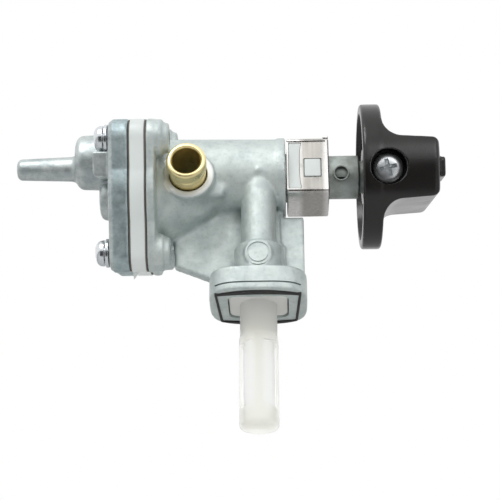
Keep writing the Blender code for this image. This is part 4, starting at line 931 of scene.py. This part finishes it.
class Nodes:
    """A material's node tree, with short ways to add to it."""

    def __init__(self, name):
        self.material = bpy.data.materials.new(name)
        self.material.use_nodes = True
        self.tree = self.material.node_tree
        self.shader = self.tree.nodes["Principled BSDF"]
        self.place = self.add("ShaderNodeTexCoord", "Object", {})

    def put(self, node, inputs):
        """Each input gets a value, or the output of another node."""
        for key, value in inputs.items():
            if isinstance(value, bpy.types.NodeSocket):
                self.tree.links.new(value, node.inputs[key])
            else:
                node.inputs[key].default_value = value

    def add(self, kind, output, inputs, **settings):
        """The output of a new node."""
        node = self.tree.nodes.new(kind)
        for key, value in settings.items():
            setattr(node, key, value)
        self.put(node, inputs)
        return node.outputs[output]

    def base(self, colour, roughness, metallic=0.0, **more):
        """The plain values of the shader; an underscore stands for a space in a socket's name."""
        named = {key.replace("_", " "): value for key, value in more.items()}
        self.put(self.shader, {"Base Color": (*colour, 1), "Roughness": roughness, "Metallic": metallic,
                               **named})

    def colour(self, source):
        self.put(self.shader, {"Base Color": source})

    def gloss(self, scale, detail, low, high):
        """A roughness that varies between two values."""
        self.put(self.shader, {"Roughness": self.ramp(self.noise(scale, detail), [(0.3, low), (0.7, high)])})

    def noise(self, scale, detail=3.0, stretch=None, roughness=0.5):
        place = self.place
        if stretch:
            place = self.add("ShaderNodeMapping", "Vector", {"Scale": stretch, "Vector": place})
        return self.add("ShaderNodeTexNoise", "Fac", {
            "Scale": scale, "Detail": detail, "Roughness": roughness, "Vector": place})

    def ramp(self, source, stops):
        """Stops of (place, colour or grey)."""
        output = self.add("ShaderNodeValToRGB", "Color", {"Fac": source})
        elements = output.node.color_ramp.elements
        while len(elements) < len(stops):
            elements.new(0.5)
        for element, (at, colour) in zip(elements, stops):
            element.position = at
            element.color = (*colour, 1) if isinstance(colour, tuple) else (colour, colour, colour, 1)
        return output

    def multiply(self, first, second):
        """The product of two colours."""
        return self.add("ShaderNodeMix", "Result", {"Factor": 1.0, "A": first, "B": second},
                        data_type="RGBA", blend_type="MULTIPLY")

    def blend(self, share, first, second):
        """The first colour where the share is 0, and the second where it is 1."""
        return self.add("ShaderNodeMix", "Result", {"Factor": share, "A": first, "B": (*second, 1)},
                        data_type="RGBA")

    def times(self, first, second):
        """The product of two values."""
        return self.add("ShaderNodeMath", "Value", {0: first, 1: second}, operation="MULTIPLY")

    def rise(self, source, start, end):
        """0 at the start and 1 at the end, both in mm."""
        return self.add("ShaderNodeMapRange", "Result", {
            "From Min": start * MM, "From Max": end * MM, "Value": source})

    def hollow(self, reach):
        """An occlusion mask: 1 on open surfaces, towards 0 in creases narrower than the reach; the cast
        metals use it to paint shade into creases.
        """
        return self.add("ShaderNodeAmbientOcclusion", "AO", {"Distance": reach * MM},
                        samples=8, only_local=True)

    def between(self, low, high, fade, axis="X"):
        """1 between two places along an axis, and 0 beyond them; lengths are in mm."""
        source = self.add("ShaderNodeSeparateXYZ", axis, {0: self.place})
        return self.times(self.rise(source, low, low + fade), self.rise(source, high, high - fade))

    def around(self, x, z, radius):
        """1 within a radius of an axis along y, and 0 beyond it."""
        flat = self.add("ShaderNodeVectorMath", "Vector", {0: self.place, 1: (1, 0, 1)},
                        operation="MULTIPLY")
        reach = self.add("ShaderNodeVectorMath", "Value", {0: flat, 1: (x * MM, 0, z * MM)},
                         operation="DISTANCE")
        return self.rise(reach, radius, radius - 0.1)

    def bump(self, *layers):
        """Layers of (height, strength, distance in mm), one over the other."""
        below = {}
        for height, strength, distance in layers:
            values = {"Strength": strength, "Distance": distance * MM, "Height": height}
            below = {"Normal": self.add("ShaderNodeBump", "Normal", {**values, **below})}
        self.put(self.shader, below)


def cast_metal(name, light, dark, crease_shade, roughness, metallic, band=None, highlight_disc=None):
    """Die-cast alloy: a cloudy skin with fine grain and pits, and painted shade in its creases, where an
    occlusion mask darkens the colour.
    A band is (low x, high x, tint): a stretch along x that was left rough and is darker.
    The disc argument, (low y, high y, x, z, radius, colour), is a painted highlight: within it the colour is
    blended to a brighter one."""
    made = Nodes(name)
    made.base(light, roughness, metallic)
    colour = made.ramp(made.noise(170, 6, roughness=0.62), [(0.36, dark), (0.58, light)])
    speck = made.ramp(made.noise(900, 4, roughness=0.7), [(0.34, (0.88, 0.90, 0.89)), (0.5, PLAIN)])
    colour = made.multiply(colour, speck)
    # Painted shade: an occlusion mask darkens the colour in creases, down to the given shade colour.
    colour = made.multiply(colour, made.ramp(made.hollow(4.5), [(0.25, crease_shade), (0.8, PLAIN)]))
    if band:
        low, high, tint = band
        within = made.ramp(made.between(low, high, 0.4), [(0, PLAIN), (1, tint)])
        patches = made.ramp(made.noise(260, 8, roughness=0.75),
                            [(0.42, (0.76, 0.78, 0.80)), (0.56, PLAIN)])
        colour = made.multiply(made.multiply(colour, within), patches)
    # Painted highlight: a disc of brighter colour.
    if highlight_disc:
        low, high, *disc, bright = highlight_disc
        share = made.multiply(made.between(low, high, 0.1, "Y"), made.around(*disc))
        colour = made.blend(share, colour, bright)
    made.colour(colour)
    made.gloss(420, 4, roughness - 0.07, roughness + 0.1)
    made.bump((made.noise(230, 4), 0.3, 0.4), (made.noise(1500, 3), 0.28, 0.1))
    return made.material


def turned_metal(name, colour, dark, roughness, stretch, band=None):
    """Bright metal with fine lines; stretch is the scale of their noise along each axis."""
    made = Nodes(name)
    made.base(colour, roughness, 1.0)
    lines = made.noise(1200, 3, stretch)
    paint = made.ramp(lines, [(0.3, dark), (0.65, colour)])
    # A band darkens a stretch along x by its tint; on the clip this is painted shade.
    if band:
        low, high, tint = band
        within = made.ramp(made.between(low, high, 1.5), [(0, PLAIN), (1, tint)])
        paint = made.multiply(paint, within)
    made.colour(paint)
    made.gloss(300, 3, roughness - 0.06, roughness + 0.1)
    made.bump((lines, 0.08, 0.04), (made.noise(250, 2), 0.12, 0.2))
    return made.material


def plastic(name, colour, dark, roughness, grain, milky=None, **more):
    """Milky is (z, transmission below it, transmission above): it changes within 6 mm."""
    made = Nodes(name)
    made.base(colour, roughness, 0.0, **more)
    if milky:
        low, clear, dense = milky
        far = 1000  # above every piece
        share = made.ramp(made.between(low, far, 6, "Z"), [(0, clear), (1, dense)])
        made.put(made.shader, {"Transmission Weight": share})
    made.colour(made.ramp(made.noise(90, 3), [(0.3, dark), (0.7, colour)]))
    made.gloss(120, 3, roughness - 0.02, roughness + 0.04)
    made.bump((made.noise(grain, 2), 0.1, 0.05))
    return made.material


def mesh_cloth(name):
    """Woven gauze: two sets of fine threads."""
    made = Nodes(name)
    made.base((0.86, 0.88, 0.86), 0.9, Transmission_Weight=0.97, IOR=1.08)
    threads = {"Scale": 1500, "Distortion": 0.4, "Vector": made.place}
    weave = made.times(*[made.add("ShaderNodeTexWave", "Fac", threads, bands_direction=direction)
                         for direction in ("Z", "X")])
    made.colour(made.ramp(weave, [(0.1, (0.95, 0.955, 0.945)), (0.6, (0.99, 0.99, 0.985))]))
    made.bump((weave, 0.4, 0.1))
    return made.material


def dress(piece, finish):
    piece.data.materials.clear()
    piece.data.materials.append(finish)


# The third colour of each cast metal is painted shade for its creases.
CAST = cast_metal("cast_metal", (0.64, 0.70, 0.685), (0.53, 0.60, 0.59), (0.33, 0.37, 0.36), 0.56, 0.6,
                  # a painted highlight on the outlet boss's face
                  highlight_disc=(OUTLET_FACE - PAST, OUTLET_FACE + 0.35, OUTLET_X, BLOCK_Z,
                         OUTLET_RADIUS + 0.2, (0.86, 0.88, 0.87)))
COVER = cast_metal("cover_metal", (0.62, 0.67, 0.66), (0.51, 0.56, 0.56), (0.36, 0.41, 0.41), 0.44, 0.7,
                   (COVER_LEFT + 0.9, COVER_RIGHT + PAST, (0.80, 0.88, 0.91)))
SHAFT = cast_metal("shaft_metal", (0.48, 0.53, 0.505), (0.32, 0.335, 0.31), (0.3, 0.3, 0.3), 0.5, 0.7)
BRASS = turned_metal("brass", (1.0, 0.87, 0.49), (0.90, 0.75, 0.38), 0.33, (1, 40, 1))
SCREW_STEEL = turned_metal("screw_steel", (0.93, 0.95, 0.96), (0.58, 0.62, 0.65), 0.3, (40, 1, 1))
STEEL = turned_metal("bright_plating", (0.80, 0.83, 0.85), (0.60, 0.63, 0.66), 0.2, (40, 1, 1))
# The band darkens the clip's sunk leaf: painted shade, in place of the darker surroundings that the real
# leaf reflects.
SHEET = turned_metal("sheet_steel", (0.80, 0.79, 0.77), (0.68, 0.67, 0.65), 0.3, (1, 1, 0.04),
                     band=(CLIP_X + 3.2, CLIP_END - 0.6, (0.56, 0.55, 0.53)))
WHITE = plastic("acetal", (0.86, 0.91, 0.89), (0.80, 0.86, 0.84), 0.35, 1500, Subsurface_Weight=0.15)
NYLON = plastic("nylon", (0.99, 0.99, 0.965), (0.98, 0.98, 0.95), 0.85, 900, IOR=1.2,
                milky=(-8, 0.96, 0.3))
BLACK = plastic("moulded_black", (0.012, 0.0105, 0.0095), (0.007, 0.006, 0.0055), 0.24, 1400,
                Specular_IOR_Level=0.5)
RUBBER = plastic("rubber", (0.035, 0.033, 0.032), (0.02, 0.02, 0.02), 0.65, 700)
SHEET_RUBBER = plastic("sheet_rubber", (0.17, 0.15, 0.13), (0.11, 0.10, 0.085), 0.6, 700)
GAUZE_CLOTH = mesh_cloth("gauze_cloth")
depth = WHITE.node_tree.nodes["Principled BSDF"].inputs
depth["Subsurface Radius"].default_value = (1.0, 1.0, 0.9)
depth["Subsurface Scale"].default_value = 1.5 * MM

PIECES = [
    (body_casting(), "tap", CAST, "cast_alloy", ["tap_body"]),
    (cover_casting(), "tap", COVER, "cast_alloy", ["diaphragm_cover"]),
    (spacer(), "tap", WHITE, "acetal", ["spacer_plate"]),
    (outlet_tube(), "tap", BRASS, "brass", ["outlet_pipe"]),
    (bush(), "tap", WHITE, "acetal", ["shaft_bush"]),
    (clip(), "tap", SHEET, "stainless", ["retainer_clip"]),
    (rotor(), "knob", SHAFT, "shaft_alloy", ["valve_rotor"]),
    (knob(), "knob", BLACK, "black_plastic", ["knob"]),
    (grip_screw(), "knob", SCREW_STEEL, "plated_steel", ["knob_screw"]),
    (strainer(), "tap", NYLON, "nylon", ["strainer"]),
    (gauze_sleeve(), "tap", GAUZE_CLOTH, "gauze", ["strainer_gauze"]),
    (gasket(), "tap", RUBBER, "rubber", ["tank_gasket"]),
]
PIECES += [(piece, "tap", STEEL, "plated_steel", [node]) for piece, node in cover_fasteners()]
for piece, body, finish, slot, nodes in PIECES:
    dress(piece, finish)
    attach(piece, body)
    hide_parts(*nodes)

INNER = [
    (SHEET_RUBBER, ["vacuum_diaphragm", "fuel_diaphragm"]),
    (RUBBER, ["valve_packing", "valve_seal", "shaft_seal"]),
    (STEEL, ["diaphragm_spring"]),
    (SHEET, ["wave_washer"]),
    (BRASS, ["valve_stem", "vacuum_plate", "fuel_plate"]),
]
for finish, nodes in INNER:
    for node in nodes:
        dress(frame["nodes"][node], finish)


# Floor, light and camera; lengths are in mm, except for the lamps

FLOOR_SIZE = 30000
FLOOR_LEVEL = -360
WORLD_LEVEL = 0.48  # of the light that reaches the surfaces
LAMP_AIM = Vector((0, 0, 0.02))  # in metres, like the lamps' places and sizes


def stage_sheet(name, left, right, low, high, level, grey, spread, roughness, grain, place=HERE):
    """A flat sheet whose grey varies a little."""
    shape = bmesh.new()
    shape.faces.new([shape.verts.new((x, y, level))
                     for x, y in ((left, low), (right, low), (right, high), (left, high))])
    made = keep(name, shape, place)
    paint = Nodes(name)
    paint.base((grey, grey, grey), roughness)
    paint.colour(paint.ramp(paint.noise(grain, 2), [(0.3, grey - spread), (0.7, grey + spread)]))
    dress(made, paint.material)
    return made


def floor():
    size = FLOOR_SIZE
    stage_sheet("floor", -size, size, -size, size, FLOOR_LEVEL, 0.9, 0.01, 0.8, 3)


def world():
    """White to the camera, in mirrors and through the strainer, and dimmer as a light."""
    made = bpy.data.worlds.new("studio")
    made.use_nodes = True
    tree = made.node_tree
    background = tree.nodes["Background"]
    rays = tree.nodes.new("ShaderNodeLightPath")
    seen = rays.outputs["Is Camera Ray"]
    for kind in ("Is Glossy Ray", "Is Transmission Ray"):
        either = tree.nodes.new("ShaderNodeMath")
        either.operation = "MAXIMUM"
        tree.links.new(seen, either.inputs[0])
        tree.links.new(rays.outputs[kind], either.inputs[1])
        seen = either.outputs["Value"]
    strength = tree.nodes.new("ShaderNodeMapRange")
    strength.inputs["To Min"].default_value = WORLD_LEVEL
    strength.inputs["To Max"].default_value = 1.0
    tree.links.new(seen, strength.inputs["Value"])
    tree.links.new(strength.outputs["Result"], background.inputs["Strength"])
    background.inputs["Color"].default_value = (1, 1, 1, 1)
    bpy.context.scene.world = made


def lamp(name, place, size, power):
    data = bpy.data.lights.new(name, "AREA")
    data.shape = "RECTANGLE"
    data.size, data.size_y = size
    data.energy = power
    made = bpy.data.objects.new(name, data)
    made.location = place
    made.rotation_mode = "QUATERNION"
    made.rotation_quaternion = (LAMP_AIM - Vector(place)).to_track_quat("-Z", "Y")
    bpy.context.scene.collection.objects.link(made)


CAMERA_TARGET = Vector((-2.44, 8.40, 20.98))
CAMERA_DISTANCE = 392
CAMERA_SIDE = -0.0226
CAMERA_RISE = radians(-25)
CAMERA_ROLL = 0.0045
CAMERA_FOCUS = 1400  # in pixels of the picture
PICTURE = 500  # its width in pixels
SENSOR = 36  # in mm, like the lens


def camera():
    """The camera; what it returns is its place in mm."""
    data = bpy.data.cameras.new("camera")
    data.sensor_width = SENSOR
    data.lens = SENSOR * CAMERA_FOCUS / PICTURE
    data.clip_start, data.clip_end = 0.01, 100
    made = bpy.data.objects.new("camera", data)
    bpy.context.scene.collection.objects.link(made)
    forward = Vector((CAMERA_SIDE, cos(CAMERA_RISE), -sin(CAMERA_RISE))).normalized()
    right = forward.cross(Vector((0, 0, 1))).normalized()
    up = right.cross(forward)
    right, up = (right - CAMERA_ROLL * up).normalized(), (up + CAMERA_ROLL * right).normalized()
    turn = Matrix((right, up, -forward)).transposed().to_4x4()
    place = CAMERA_TARGET - forward * CAMERA_DISTANCE
    made.matrix_world = Matrix.Translation(place * MM) @ turn
    bpy.context.scene.camera = made
    return Matrix.Translation(place) @ turn


def card(place):
    """A dark card behind the camera, which gives the metal something to reflect from there."""
    left, right, half, behind = -350, 120, 200, 60
    made = stage_sheet("card", left, right, -half, half, behind, 0.05, 0.005, 0.9, 20, place)
    made.visible_camera = made.visible_diffuse = False
    made.visible_transmission = made.visible_shadow = False


floor()
world()
lamp("key", (-0.35, -0.75, 0.75), (0.5, 0.5), 4.5)
lamp("front", (0.30, -0.80, 0.26), (0.4, 0.3), 0.8)
card(camera())
bpy.context.view_layer.update()
bpy.context.scene.view_settings.view_transform = "Standard"
